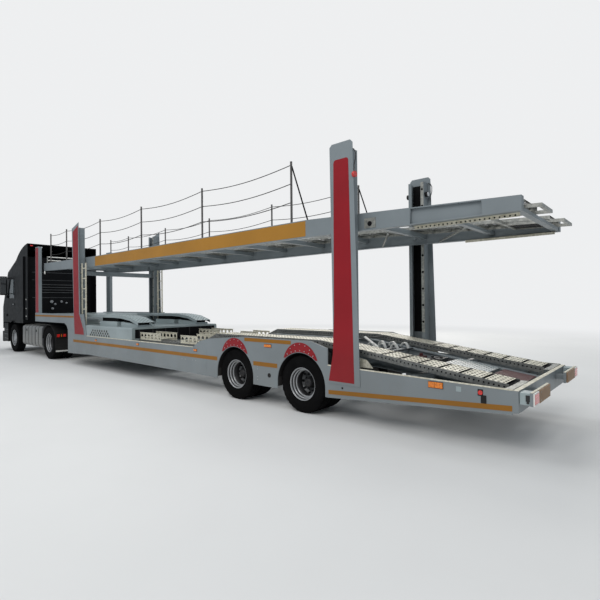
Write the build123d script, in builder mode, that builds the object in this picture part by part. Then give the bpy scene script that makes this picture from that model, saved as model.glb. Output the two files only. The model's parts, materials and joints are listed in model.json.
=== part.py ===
from build123d import *
import math
import os

# Articulated car transporter: a black cab-over tractor and a two-deck semi-trailer.
# Millimetres. +X points to the front of the vehicle, +Y to its left, +Z up from the ground.
# Lengths along X are counted from the centre of the trailer's rear columns,
# and every piece is moved by -middle_x when it is saved, so the whole is centred.

# Trailer width and outer skins
half_width = 1250.0
skin = 12.0
skin_inner = half_width - skin

# Running gaps
slide_gap = 0.5
pin_gap = 0.3
seat_gap = 0.3

# Trailer wheels, twin 285/70 R 19.5
trailer_tyre_radius = 448.0
trailer_tyre_width = 272.0
trailer_seat_radius = 247.0
trailer_flange_radius = 258.0
trailer_twin_pitch = 310.0
trailer_wheel_face = 1216.0
trailer_stub_radius = 48.0
trailer_outer_y = trailer_wheel_face - trailer_tyre_width / 2
trailer_stub_end = trailer_outer_y - slide_gap
rear_axle_x = 820.0
axle_spacing = 1560.0
front_axle_x = rear_axle_x + axle_spacing

# Tractor wheels, 295/80 R 22.5, single in front and twin behind
tractor_tyre_radius = 515.0
tractor_tyre_width = 286.0
tractor_seat_radius = 286.0
tractor_flange_radius = 299.0
tractor_twin_pitch = 326.0
tractor_wheel_face = 1228.0
tractor_stub_radius = 52.0
tractor_outer_y = tractor_wheel_face - tractor_tyre_width / 2
tractor_stub_end = tractor_outer_y - slide_gap
drive_axle_x = 11450.0
wheelbase = 3500.0
steer_axle_x = drive_axle_x + wheelbase

# Lower deck and gooseneck, side view
deck_rear_x = -2240.0
deck_top_low = 865.0
deck_top_arch = 1130.0
deck_bottom = 350.0
low_start_x = 3640.0
drop_rear_x = 8600.0
drop_front_x = 9860.0
drop_bottom = 315.0
gooseneck_front_x = 12600.0
gooseneck_top = 1450.0
gooseneck_bottom = 1175.0
gooseneck_rear_x = 8760.0
gooseneck_deck_top = 1418.0

# Hump over the drop of the gooseneck
hump_rear_x = 6100.0
hump_front_x = 9060.0
hump_top = 1155.0
hump_foot = 800.0
hump_round = 45.0
hump_track_depth = 70.0

# Wheel tracks of the lower deck
track_inner_y = 610.0
track_outer_y = 1060.0
track_depth = 90.0
track_sheet = 6.0
track_front_x = hump_rear_x - 10
track_rear_x = -2150.0
track_top_low = 880.0
track_top_wheels = 1135.0
track_top_rear = 770.0
cover_sheet = 8.0
cover_front_x = 9500.0

# Main beams of the trailer
beam_y = 480.0
beam_width = 130.0
beam_web = 12.0
beam_flange = 16.0
arch_beam_bottom = 720.0

# Columns
column_depth = 168.0
column_half = 150.0
column_wall = 14.0
column_lip = 62.0
column_plate = 8.0
column_top = 4000.0
channel_top = 3890.0
column_foot = 540.0
front_column_x = 9250.0
rear_column_x = 0.0
column_inner_y = skin_inner - column_depth
slot_half = column_half - column_lip

# Front posts on the gooseneck
post_rear_x = 12310.0
post_inner_y = 1140.0
post_top = 3650.0

# Upper deck
upper_outer_y = 1045.0
upper_beam_width = 96.0
upper_web = 10.0
upper_flange = 14.0
upper_front_x = 12400.0
upper_rear_x = -2300.0
tail_break_x = -900.0
tail_break_top = 2955.0
tail_end_top = 2895.0
upper_track_drop = 30.0
upper_track_depth = 50.0
upper_track_inner_y = 340.0
upper_track_outer_y = 925.0
upper_track_sheet = 5.0
pivot_z = 2900.0
pivot_radius = 35.0
roller_z = 2868.0
roller_radius = 40.0

# Guard rail on the upper deck
rail_post_xs = (1200.0, 3650.0, 6070.0, 8280.0, 10600.0, 11900.0)
rail_post_radius = 19.0
rail_post_top = 4050.0
rope_radius = 7.0
rope_heights = (3990.0, 3680.0, 3370.0)
rope_sag = 0.03
rope_end_gap = 1.0

# Sliding end frames of the upper deck
extension_rear_x = -2470.0
extension_front_x = -1710.0
extension_bar = 40.0
extension_inner_y = 350.0
extension_outer_y = 880.0

# Tractor frame
rail_y = 390.0
rail_width = 80.0
rail_bottom = 700.0
rail_top = 960.0
chassis_rear_x = 10640.0
chassis_front_x = 16060.0
kingpin_x = 11900.0
kingpin_radius = 25.4
fifth_wheel_radius = 470.0
fifth_wheel_thickness = 45.0
steer_y = 870.0

# Cab
cab_rear_x = 13880.0
cab_front_x = 16230.0
cab_half = 1240.0
cab_wall = 55.0
cab_floor = 1080.0
cab_skirt = 840.0
door_rear_x = 14780.0
door_front_x = 15700.0
door_bottom = 1150.0
door_top = 2780.0
door_gap = 6.0
hinge_out = 14.0
glass = 6.0
tilt_x = 16130.0
tilt_z = 820.0
bumper_front_x = 16290.0
bumper_top = 730.0
headlamp_depth = 10.0

middle_x = (bumper_front_x + headlamp_depth + extension_rear_x) / 2
finished = []


def save(piece, name):
    """Label a finished piece and move it into the centred frame."""
    placed = piece.moved(Location((-middle_x, 0, 0)))
    placed.label = name
    finished.append((placed, name))


def side_plane(y):
    """The plane at that y whose sketch axes are X and Z, extruding towards -Y."""
    return Plane.XZ.offset(-y)


def plate(points, y_high, thickness):
    """A flat plate with that side view, from y_high inwards."""
    with BuildPart() as made:
        with BuildSketch(side_plane(y_high)):
            with BuildLine():
                Polyline(*points, close=True)
            make_face()
        extrude(amount=thickness)
    return made.part


def block(x_low, x_high, y_low, y_high, z_low, z_high, mode=Mode.ADD):
    """A rectangular block between those limits, in the builder that calls it."""
    with Locations(((x_low + x_high) / 2, (y_low + y_high) / 2, (z_low + z_high) / 2)):
        Box(x_high - x_low, y_high - y_low, z_high - z_low, mode=mode)


def cross_rod(x, z, radius, y_low, y_high, mode=Mode.ADD):
    """A round bar along Y, in the builder that calls it."""
    with Locations(Location((x, (y_low + y_high) / 2, z), (90, 0, 0))):
        Cylinder(radius, y_high - y_low, mode=mode)


def i_beam(points, y_centre, width, web, flange):
    """An I-section beam whose side view is that outline."""
    with BuildPart() as made:
        add(plate(points, y_centre + width / 2, width))
        for face_y in (y_centre + width / 2, y_centre - web / 2):
            with BuildSketch(side_plane(face_y)):
                with BuildLine():
                    Polyline(*points, close=True)
                make_face()
                offset(amount=-flange, kind=Kind.INTERSECTION)
            extrude(amount=(width - web) / 2, mode=Mode.SUBTRACT)
    return made.part


def channel_track(line, y_low, y_high, depth, sheet):
    """A downward-open channel under a side-view line."""
    outline = tuple(line) + tuple((x, z - depth) for x, z in reversed(line))
    hollow = tuple((x, z - sheet) for x, z in line)
    hollow = hollow + tuple((x, z - depth - 50) for x, z in reversed(line))
    with BuildPart() as made:
        add(plate(outline, y_high, y_high - y_low))
        add(plate(hollow, y_high - sheet, y_high - y_low - 2 * sheet), mode=Mode.SUBTRACT)
    return made.part


def both_sides(piece):
    """The piece and its mirror image across the centre plane."""
    with BuildPart() as made:
        add(piece)
        mirror(about=Plane.XZ)
    return made.part


def height_on(line, x):
    """Height of a side-view line at that x; the line runs front to rear."""
    for (x_high, z_high), (x_low, z_low) in zip(line, line[1:]):
        if x_low <= x <= x_high:
            return z_low + (z_high - z_low) * (x - x_low) / (x_high - x_low)
    return line[-1][1]


# Trailer frame

main_beam_outline = (
    (gooseneck_front_x - 20, gooseneck_bottom),
    (gooseneck_front_x - 20, gooseneck_deck_top),
    (cover_front_x, gooseneck_deck_top),
    (hump_front_x, hump_top - cover_sheet),
    (hump_rear_x + 1200, hump_top - cover_sheet),
    (hump_rear_x + 600, 800),
    (low_start_x + 60, 800),
    (3050, track_top_wheels - track_depth),
    (560, track_top_wheels - track_depth),
    (deck_rear_x + 30, 640),
    (deck_rear_x + 30, 520),
    (-100, arch_beam_bottom),
    (3080, arch_beam_bottom),
    (3420, 400),
    (9250, 400),
    (9700, gooseneck_bottom),
)
# x centre, half length along x, half length along y, z bottom, z top of each cross-member
cross_members = (
    (-1900, 40, skin_inner, 575, 655),
    (-1000, 40, skin_inner, 660, 755),
    (0, 130, column_inner_y, 800, 930),
    (1600, 40, skin_inner, 930, track_top_wheels - track_depth),
    (3010, 40, skin_inner, 930, track_top_wheels - track_depth),
    (3900, 40, skin_inner, 700, track_top_low - track_depth),
    (4700, 40, skin_inner, 700, track_top_low - track_depth),
    (5500, 40, skin_inner, 700, track_top_low - track_depth),
    (6020, 40, skin_inner, 700, track_top_low - track_depth),
    (7200, 40, skin_inner, 560, 680),
    (8100, 40, skin_inner, 560, 680),
    (8800, 40, skin_inner, 560, 680),
    (front_column_x, 130, column_inner_y, 1020, 1130),
    (9720, 70, skin_inner, gooseneck_bottom, 1265),
    (10500, 40, skin_inner, 1240, 1330),
    (11300, 40, skin_inner, 1240, 1330),
    (12440, 40, skin_inner, 1240, 1330),
)

left_beam = i_beam(main_beam_outline, beam_y, beam_width, beam_web, beam_flange)
rub_half = beam_y - beam_width / 2
with BuildPart() as frame_members:
    for x_centre, x_half, y_half, z_low, z_high in cross_members:
        block(x_centre - x_half, x_centre + x_half, -y_half, y_half, z_low, z_high)
with BuildPart() as trailer_frame:
    add(both_sides(left_beam))
    # the cross-members pass through the webs
    add(frame_members.part, mode=Mode.SUBTRACT)
save(trailer_frame.part, "trailer_frame")
with frame_members:
    # rub plate and kingpin over the tractor's fifth wheel
    block(kingpin_x - 560, gooseneck_front_x - 20, -rub_half, rub_half, gooseneck_bottom, 1190)
    with Locations((kingpin_x, 0, gooseneck_bottom - 40)):
        Cylinder(kingpin_radius, 84)
save(frame_members.part, "frame_members")


# Side skins

deck_side_outline = (
    (drop_rear_x, deck_bottom + 10),
    (drop_rear_x, deck_top_low),
    (low_start_x, deck_top_low),
    (3430, 985),
    (3120, 1050),
    (2100, deck_top_arch),
    (600, deck_top_arch),
    (280, 1040),
    (280, 800),
    (deck_rear_x, 750),
    (deck_rear_x, 478),
    (280, 322),
)
arch_half = 490.0
gooseneck_side_outline = (
    (gooseneck_front_x, gooseneck_bottom),
    (gooseneck_front_x, gooseneck_top),
    (gooseneck_rear_x, gooseneck_top),
    (drop_rear_x + seat_gap, deck_top_low + 60),
    (drop_rear_x + seat_gap, drop_bottom + 35),
    (drop_front_x, drop_bottom),
    (drop_front_x, 980),
    (drop_front_x + 90, 1100),
    (drop_front_x + 260, gooseneck_bottom),
)

with BuildPart() as deck_side:
    add(plate(deck_side_outline, half_width, skin))
    with BuildSketch(side_plane(half_width)):
        for x_centre in (rear_axle_x, front_axle_x):
            with Locations((x_centre, trailer_tyre_radius)):
                Circle(arch_half)
            with Locations((x_centre, trailer_tyre_radius / 2)):
                Rectangle(2 * arch_half, trailer_tyre_radius)
    extrude(amount=skin, mode=Mode.SUBTRACT)
with BuildPart() as side_skins:
    add(both_sides(deck_side.part))
    add(both_sides(plate(gooseneck_side_outline, half_width, skin)))
save(side_skins.part, "side_skins")


# Cover over the drop of the gooseneck: a round-edged hump, a slope and the deck of the gooseneck

cover_top = gooseneck_deck_top + 6
cover_half = skin_inner - seat_gap
notch_gap = 5.0


def hump_section(x, inset, low):
    """The hump's section at that x, so far inside its outer skin, down to that height."""
    with BuildSketch(Plane.YZ.offset(x)) as section:
        with BuildLine():
            Polyline(
                (inset - cover_half, low),
                (inset - cover_half, hump_top - inset),
                (cover_half - inset, hump_top - inset),
                (cover_half - inset, low),
                close=True,
            )
        make_face()
        fillet(section.vertices().group_by(Axis.Z)[-1], hump_round - inset)
    return section.sketch


with BuildPart() as deck_cover:
    extrude(hump_section(hump_rear_x, 0, hump_foot), amount=hump_front_x - hump_rear_x)
    inner_length = hump_front_x - hump_rear_x - cover_sheet
    hollow = hump_section(hump_rear_x + cover_sheet, cover_sheet, hump_foot - 1)
    extrude(hollow, amount=inner_length, mode=Mode.SUBTRACT)
    deck_line = (
        (hump_front_x - 1, hump_top),
        (cover_front_x, cover_top),
        (gooseneck_front_x - 4, cover_top),
        (gooseneck_front_x - 4, gooseneck_deck_top),
        (cover_front_x, gooseneck_deck_top),
        (hump_front_x - 1, hump_top - cover_sheet),
    )
    add(plate(deck_line, cover_half, 2 * cover_half))
    # notches for the front columns
    for side in (-1, 1):
        y_notch = sorted((side * (column_inner_y - notch_gap), side * half_width))
        x_reach = column_half + notch_gap
        x_notch = (front_column_x - x_reach, front_column_x + x_reach)
        block(*x_notch, *y_notch, hump_foot, gooseneck_top, Mode.SUBTRACT)
save(deck_cover.part, "deck_cover")


# Wheel tracks of the lower deck

lower_track_line = (
    (track_front_x - seat_gap, track_top_low),
    (3760, track_top_low),
    (3130, track_top_wheels),
    (560, track_top_wheels),
    (track_rear_x, track_top_rear),
)
# tracks over the hump, on two flat boxes each
hump_track_line = (
    (hump_front_x + 240, 1434),
    (7400, 1440),
    (7000, 1428),
    (6550, 1380),
    (hump_rear_x + 50, 1268),
)
hump_box_inset = 40.0
hump_box_xs = ((6210.0, 7070.0), (7280.0, 8270.0))
with BuildPart() as hump_track:
    add(channel_track(hump_track_line, track_inner_y, track_outer_y, hump_track_depth, track_sheet))
    for x_low, x_high in hump_box_xs:
        bends = [x for x, z in reversed(hump_track_line) if x_low < x < x_high]
        box_top = [(x, height_on(hump_track_line, x) - track_sheet / 2) for x in (x_low, *bends, x_high)]
        box_outline = [(x_low, hump_top + seat_gap), *box_top, (x_high, hump_top + seat_gap)]
        box_width = track_outer_y - track_inner_y - 2 * hump_box_inset
        add(plate(box_outline, track_outer_y - hump_box_inset, box_width))
with BuildPart() as lower_tracks:
    low_track = channel_track(lower_track_line, track_inner_y, track_outer_y, track_depth, track_sheet)
    add(both_sides(low_track))
    add(both_sides(hump_track.part))
save(lower_tracks.part, "lower_tracks")


# Columns, each an outer plate with a slotted guide channel behind it

def column(x_centre, outline):
    with BuildPart() as made:
        add(plate(outline, half_width + column_plate, column_plate))
        with BuildSketch(Plane.XY.offset(column_foot)):
            with Locations((x_centre, skin_inner - column_depth / 2)):
                Rectangle(2 * column_half, column_depth)
                Rectangle(
                    2 * (column_half - column_wall),
                    column_depth - 2 * column_wall,
                    mode=Mode.SUBTRACT,
                )
            with Locations((x_centre, column_inner_y)):
                Rectangle(2 * slot_half, 3 * column_wall, mode=Mode.SUBTRACT)
        extrude(amount=channel_top - column_foot)
        block(
            x_centre - column_half,
            x_centre + column_half,
            skin_inner,
            half_width,
            gooseneck_top + seat_gap,
            channel_top,
        )
    return both_sides(made.part)


rear_column_outline = (
    (rear_column_x - 285, 540),
    (rear_column_x - 195, column_top - 40),
    (rear_column_x - 155, column_top),
    (rear_column_x + 165, column_top),
    (rear_column_x + 205, column_top - 40),
    (rear_column_x + 165, 960),
    (rear_column_x + 270, 540),
)
front_column_outline = (
    (8720, 860),
    (8720, 1010),
    (8990, 1440),
    (9060, 4030),
    (9520, 3900),
    (9420, gooseneck_top),
    (9380, 860),
)
save(column(front_column_x, front_column_outline), "front_columns")
save(column(rear_column_x, rear_column_outline), "rear_columns")


# Posts on the gooseneck, hollow, each on a sole that reaches inwards onto the deck

post_wall = 10.0
with BuildPart() as gooseneck_post:
    with BuildSketch(Plane.XY.offset(cover_top)):
        with Locations(((post_rear_x + gooseneck_front_x) / 2, (post_inner_y + skin_inner) / 2)):
            Rectangle(gooseneck_front_x - post_rear_x, skin_inner - post_inner_y)
            Rectangle(
                gooseneck_front_x - post_rear_x - 2 * post_wall,
                skin_inner - post_inner_y - 2 * post_wall,
                mode=Mode.SUBTRACT,
            )
    extrude(amount=post_top - cover_top)
    block(post_rear_x, gooseneck_front_x - 4, track_outer_y - 40, post_inner_y, cover_top, cover_top + 20)
save(both_sides(gooseneck_post.part), "gooseneck_posts")


# Ladders behind the front columns

ladder_rear_x = hump_front_x - 290
ladder_front_x = hump_front_x - 10
ladder_y = 1160.0
ladder_stile = 30.0
ladder_foot = hump_top + seat_gap
ladder_top = 2880.0
rung_pitch = 285.0
column_rear_face = front_column_x - column_half

with BuildPart() as ladder:
    for x_low in (ladder_rear_x, ladder_front_x - ladder_stile):
        block(x_low, x_low + ladder_stile, ladder_y, ladder_y + ladder_stile, ladder_foot, ladder_top)
    for rung in range(6):
        z_rung = ladder_foot + 140 + rung * rung_pitch
        block(ladder_rear_x, ladder_front_x, ladder_y + 5, ladder_y + 25, z_rung, z_rung + 24)
    for z_arm in (1700, 2600):
        block(ladder_front_x, column_rear_face, ladder_y, ladder_y + ladder_stile, z_arm, z_arm + 40)
save(both_sides(ladder.part), "ladders")


# Trailer axles with their arms, hangers and air springs

with BuildPart() as trailer_axles:
    for x_centre in (rear_axle_x, front_axle_x):
        cross_rod(x_centre, trailer_tyre_radius, 62, -600, 600)
        cross_rod(x_centre, trailer_tyre_radius, trailer_stub_radius, -trailer_stub_end, trailer_stub_end)
        for side in (-1, 1):
            y_low = side * beam_y - 45
            y_high = side * beam_y + 45
            block(x_centre - 320, x_centre + 520, y_low, y_high, 415, 480)
            block(x_centre + 440, x_centre + 540, y_low, y_high, 415, arch_beam_bottom)
            with Locations((x_centre - 230, side * beam_y, (480 + arch_beam_bottom) / 2)):
                Cylinder(115, arch_beam_bottom - 480)
save(trailer_axles.part, "trailer_axles")


# Rear cross-beam with lamp boards on brackets

lamp_board_x = -2440.0
lamp_board_low = 593.0
lamp_board_high = 735.0
with BuildPart() as rear_bumper:
    block(deck_rear_x - 60, deck_rear_x, -half_width, half_width, 500, 740)
    for side in (-1, 1):
        y_board = sorted((side * 480, side * half_width))
        block(lamp_board_x, lamp_board_x + 30, *y_board, lamp_board_low, lamp_board_high)
        for y_bracket in (side * 620, side * 1080):
            block(lamp_board_x + 30, deck_rear_x - 60, y_bracket - 15, y_bracket + 15, 620, 690)
save(rear_bumper.part, "rear_bumper")


# Lamps of the trailer: two red pairs behind, amber markers along the sides

# x, z of each side marker
side_markers = ((8000, 770), (5810, 790), (3560, 800), (-1370, 700))
with BuildPart() as trailer_lamps:
    for side in (-1, 1):
        for y_lamp in (side * 640, side * 1140):
            block(
                lamp_board_x - 16,
                lamp_board_x,
                y_lamp - 90,
                y_lamp + 90,
                lamp_board_low + 20,
                lamp_board_high - 20,
            )
        y_face = side * (half_width + 5)
        for x_lamp, z_lamp in side_markers:
            block(x_lamp - 50, x_lamp + 50, y_face - 5, y_face + 5, z_lamp - 20, z_lamp + 20)
save(trailer_lamps.part, "trailer_lamps")


# Arch trims

trim_inner = 500.0
trim_top = 1097.0
trim_tip = 38.0
trim_sink = 6.0
trim_half_angle = 38.0
trim_thickness = 5.0
with BuildPart() as arch_trim:
    for x_centre in (rear_axle_x, front_axle_x):
        with BuildSketch(side_plane(half_width + trim_thickness)):
            with BuildLine():
                centre = (x_centre, trailer_tyre_radius)
                inner = CenterArc(centre, trim_inner, 90 - trim_half_angle, 2 * trim_half_angle)
                tips = (
                    inner @ 0 + Vector(trim_tip, -trim_sink),
                    inner @ 1 - Vector(trim_tip, trim_sink),
                )
                ThreePointArc(tips[0], (x_centre, trim_top), tips[1])
                Line(inner @ 0, tips[0])
                Line(inner @ 1, tips[1])
            make_face()
        extrude(amount=trim_thickness)
save(both_sides(arch_trim.part), "arch_trims")


# Liners of the wheel arches, against the inside of the skins

liner_sheet = 8.0
liner_inner_y = 560.0
liner_rise = 8.0
with BuildPart() as wheel_liner:
    for x_centre in (rear_axle_x, front_axle_x):
        with BuildSketch(side_plane(skin_inner - seat_gap)):
            with BuildLine():
                centre = (x_centre, trailer_tyre_radius)
                sweep_angle = 180 - 2 * liner_rise
                outer = CenterArc(centre, arch_half + liner_sheet, liner_rise, sweep_angle)
                inner = CenterArc(centre, arch_half, liner_rise, sweep_angle)
                Line(outer @ 0, inner @ 0)
                Line(outer @ 1, inner @ 1)
            make_face()
        extrude(amount=skin_inner - seat_gap - liner_inner_y)
save(both_sides(wheel_liner.part), "wheel_liners")


# Landing legs, raised

leg_x = 9720.0
leg_y = 960.0
with BuildPart() as landing_legs:
    for side in (-1, 1):
        y_leg = side * leg_y
        block(leg_x - 60, leg_x + 60, y_leg - 60, y_leg + 60, 420, gooseneck_bottom)
        block(leg_x - 45, leg_x + 45, y_leg - 45, y_leg + 45, 330, 420)
        block(leg_x - 110, leg_x + 110, y_leg - 110, y_leg + 110, 315, 330)
save(landing_legs.part, "landing_legs")


# Upper deck

upper_top_line = (
    (upper_front_x, 3110),
    (8600, 3055),
    (850, 3030),
    (tail_break_x, tail_break_top),
    (upper_rear_x, tail_end_top),
)
upper_low_line = (
    (upper_front_x, 2860),
    (8600, 2765),
    (850, 2755),
    (tail_break_x, 2725),
    (upper_rear_x, 2720),
)
upper_outline = upper_top_line + tuple(reversed(upper_low_line))
upper_beam_y = upper_outer_y - upper_beam_width / 2
upper_inner_y = upper_outer_y - upper_beam_width
member_width = 80.0
member_depth = 80.0
member_xs = (12300, 11300, 10300, 8700, 7600, 6500, 5400, 4300, 3200, 2100, 1000, -200)
tail_member_xs = (-1350, -2250)
tail_member_depth = 45.0


def upper_member(x_centre, top_drop, depth):
    """A cross-member of the upper deck, so far below the beam tops and so deep."""
    z_high = height_on(upper_top_line, x_centre) - top_drop
    x_half = member_width / 2
    block(x_centre - x_half, x_centre + x_half, -upper_beam_y, upper_beam_y, z_high - depth, z_high)


tail_slope = math.atan2(tail_break_top - tail_end_top, tail_break_x - upper_rear_x)
track_bottom_drop = upper_track_drop + upper_track_depth
bar_bottom_drop = track_bottom_drop + slide_gap + extension_bar
tail_member_drop = bar_bottom_drop + slide_gap + member_width / 2 * math.tan(tail_slope)
gusset_xs = (-950.0, -1870.0)
gusset_sheet = 12.0
beam_cover = 8.0
upper_web_face = upper_beam_y + upper_web / 2


def upper_cover(x_front, x_rear):
    """The plate that closes the outside of the upper beam between those limits."""
    xs = [x for x, z in upper_top_line if x_rear < x < x_front]
    line = [x_front, *xs, x_rear]
    top = [(x, height_on(upper_top_line, x) - upper_flange / 2) for x in line]
    low = [(x, height_on(upper_low_line, x) + upper_flange / 2) for x in reversed(line)]
    return plate(top + low, upper_outer_y, beam_cover)


with BuildPart() as upper_beam:
    add(i_beam(upper_outline, upper_beam_y, upper_beam_width, upper_web, upper_flange))
    add(upper_cover(upper_front_x, gusset_xs[0]))
    add(upper_cover(gusset_xs[1], upper_rear_x))
    for x_gusset in gusset_xs:
        z_high = height_on(upper_top_line, x_gusset) - upper_flange / 2
        z_low = height_on(upper_low_line, x_gusset) + upper_flange / 2
        with BuildSketch(Plane.YZ.offset(x_gusset - gusset_sheet / 2)):
            with BuildLine():
                Polyline(
                    (upper_beam_y, z_high),
                    (upper_outer_y, z_high),
                    (upper_web_face + 12, z_low),
                    (upper_beam_y, z_low),
                    close=True,
                )
            make_face()
        extrude(amount=gusset_sheet)
left_upper_beam = upper_beam.part
with BuildPart() as upper_members:
    for x_member in member_xs:
        upper_member(x_member, track_bottom_drop + 2, member_depth)
    for x_member in tail_member_xs:
        upper_member(x_member, tail_member_drop, tail_member_depth)
        # seats for the outer edges of the tracks, outside the sliding frames
        z_seat = height_on(upper_top_line, x_member) - tail_member_drop
        for side in (-1, 1):
            y_seat = sorted((side * (extension_outer_y + 10), side * upper_beam_y))
            block(x_member - 30, x_member + 30, *y_seat, z_seat, z_seat + extension_bar)
    add(both_sides(left_upper_beam), mode=Mode.SUBTRACT)
save(upper_members.part, "upper_members")
with BuildPart() as upper_deck_frame:
    add(both_sides(left_upper_beam))
    for side in (-1, 1):
        y_ends = sorted((side * upper_inner_y, side * upper_outer_y))
        # bosses around the front pivots and behind the rear rollers
        cross_rod(front_column_x, pivot_z, 62, *y_ends)
        cross_rod(rear_column_x, roller_z, 50, *y_ends)
        y_neck = sorted((side * upper_outer_y, side * (skin_inner - column_wall - 30)))
        y_roller = sorted(
            (side * (column_inner_y + column_wall + 12), side * (skin_inner - column_wall - 12))
        )
        cross_rod(rear_column_x, roller_z, 24, *y_neck)
        cross_rod(rear_column_x, roller_z, roller_radius, *y_roller)
    cross_rod(
        front_column_x,
        pivot_z,
        pivot_radius + pin_gap,
        -upper_outer_y - 1,
        upper_outer_y + 1,
        Mode.SUBTRACT,
    )
save(upper_deck_frame.part, "upper_deck_frame")

upper_track_line = tuple((x, z - upper_track_drop) for x, z in upper_top_line)
upper_tracks = both_sides(
    channel_track(
        upper_track_line,
        upper_track_inner_y,
        upper_track_outer_y,
        upper_track_depth,
        upper_track_sheet,
    )
)
save(upper_tracks, "upper_tracks")


# Lifting carrier between the front columns, with the deck's pivots

carrier_plate_inner = upper_outer_y + 5
carrier_plate_outer = column_inner_y - 7
carrier_low = 2560.0
shoe_half_height = 170.0
shoe_half = column_half - column_wall - slide_gap
with BuildPart() as deck_carrier:
    block(
        front_column_x - 70,
        front_column_x + 70,
        -carrier_plate_outer,
        carrier_plate_outer,
        carrier_low,
        carrier_low + 120,
    )
    for side in (-1, 1):
        y_plate = sorted((side * carrier_plate_inner, side * carrier_plate_outer))
        y_pin = sorted((side * (upper_inner_y - 15), side * carrier_plate_inner))
        y_neck = sorted((side * carrier_plate_outer, side * (column_inner_y + column_wall + 6)))
        y_shoe = sorted(
            (
                side * (column_inner_y + column_wall + slide_gap),
                side * (skin_inner - column_wall - slide_gap),
            )
        )
        block(front_column_x - 90, front_column_x + 90, *y_plate, carrier_low, pivot_z + 80)
        cross_rod(front_column_x, pivot_z, pivot_radius, *y_pin)
        block(front_column_x - 75, front_column_x + 75, *y_neck, pivot_z - 150, pivot_z + 60)
        block(
            front_column_x - shoe_half,
            front_column_x + shoe_half,
            *y_shoe,
            pivot_z - shoe_half_height,
            pivot_z + shoe_half_height,
        )
save(deck_carrier.part, "deck_carrier")


# Guard rail

with BuildPart() as guard_posts:
    for x_post in rail_post_xs:
        z_foot = height_on(upper_top_line, x_post) + seat_gap
        for side in (-1, 1):
            with Locations((x_post, side * upper_beam_y, (z_foot + rail_post_top) / 2)):
                Cylinder(rail_post_radius, rail_post_top - z_foot)
save(guard_posts.part, "guard_posts")


def rope_span(start, middle, end):
    """A sagging length of rope between two points, as one arc."""
    with BuildPart() as made:
        with BuildLine() as route:
            ThreePointArc(start, middle, end)
        with BuildSketch(Plane(origin=route.line @ 0, z_dir=route.line % 0)):
            Circle(rope_radius)
        sweep()
    return made.part


rope_clear = rail_post_radius + rope_end_gap
with BuildPart() as guard_rope_left:
    for x_low, x_high in zip(rail_post_xs, rail_post_xs[1:]):
        for z_rope in rope_heights:
            add(
                rope_span(
                    (x_low + rope_clear, upper_beam_y, z_rope),
                    ((x_low + x_high) / 2, upper_beam_y, z_rope - rope_sag * (x_high - x_low)),
                    (x_high - rope_clear, upper_beam_y, z_rope),
                )
            )
save(both_sides(guard_rope_left.part), "guard_ropes")


# Sliding end frames under the tail of the upper deck

def tail_bar(x_low, x_high, y_high, width):
    """A bar parallel to the tail of the upper deck."""
    top_drop = track_bottom_drop + slide_gap
    z_ends = [
        tail_break_top - (tail_break_x - x) * math.tan(tail_slope) - top_drop for x in (x_low, x_high)
    ]
    outline = (
        (x_low, z_ends[0]),
        (x_high, z_ends[1]),
        (x_high, z_ends[1] - extension_bar),
        (x_low, z_ends[0] - extension_bar),
    )
    return plate(outline, y_high, width)


inner_bar_y = extension_inner_y + extension_bar
with BuildPart() as extension_frame:
    add(tail_bar(extension_rear_x, extension_front_x, extension_outer_y, extension_bar))
    add(tail_bar(extension_rear_x, extension_front_x, inner_bar_y, extension_bar))
    frame_width = extension_outer_y - extension_inner_y
    for x_low in (extension_rear_x, extension_front_x - extension_bar):
        add(tail_bar(x_low, x_low + extension_bar, extension_outer_y, frame_width))
with BuildPart() as extension_frames:
    add(both_sides(extension_frame.part))
    add(
        tail_bar(
            extension_front_x - extension_bar,
            extension_front_x,
            inner_bar_y,
            2 * inner_bar_y,
        )
    )
save(extension_frames.part, "extension_frames")


# Wheels. Each is made at the origin with its outer side towards +Y, then set in its place.

def lying(y_low, y_high):
    """The place of a round piece along Y between those limits, at the origin."""
    return Locations(Location((0, (y_low + y_high) / 2, 0), (90, 0, 0)))


def tyre(radius, width, seat_radius, y_centre):
    half = width / 2
    shoulder = 34.0
    bead_half = half - 38
    wall_radius = (seat_radius + radius) / 2
    with BuildPart() as made:
        with BuildSketch(Plane.XY):
            with BuildLine():
                Polyline(
                    (seat_radius + seat_gap, y_centre - bead_half),
                    (wall_radius, y_centre - half),
                    (radius - shoulder, y_centre - half + 10),
                    (radius, y_centre - half + shoulder),
                    (radius, y_centre + half - shoulder),
                    (radius - shoulder, y_centre + half - 10),
                    (wall_radius, y_centre + half),
                    (seat_radius + seat_gap, y_centre + bead_half),
                    close=True,
                )
            make_face()
        revolve(axis=Axis.Y)
    return made.part


def rim_barrel(seat_radius, flange_radius, width, y_centre, barrel):
    """The well of one rim with its two flanges."""
    bead = width / 2 - 38 + seat_gap
    lip = bead + 14
    with BuildPart() as made:
        with BuildSketch(Plane.XY):
            with BuildLine():
                Polyline(
                    (flange_radius, y_centre - lip - 6),
                    (flange_radius, y_centre - lip),
                    (seat_radius, y_centre - bead),
                    (seat_radius, y_centre + bead),
                    (flange_radius, y_centre + lip),
                    (flange_radius, y_centre + lip + 6),
                    (seat_radius - barrel, y_centre + lip + 6),
                    (seat_radius - barrel, y_centre - lip - 6),
                    close=True,
                )
            make_face()
        revolve(axis=Axis.Y)
    return made.part


def rim_disc(outer_radius, bore_radius, y_low, y_high, hole_ring, hole_radius, hole_count):
    """The disc of a rim with its ring of hand holes."""
    depth = y_high - y_low
    with BuildPart() as made:
        with lying(y_low, y_high):
            Cylinder(outer_radius, depth)
            Cylinder(bore_radius, depth, mode=Mode.SUBTRACT)
            with PolarLocations(hole_ring, hole_count):
                Cylinder(hole_radius, depth, mode=Mode.SUBTRACT)
    return made.part


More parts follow.
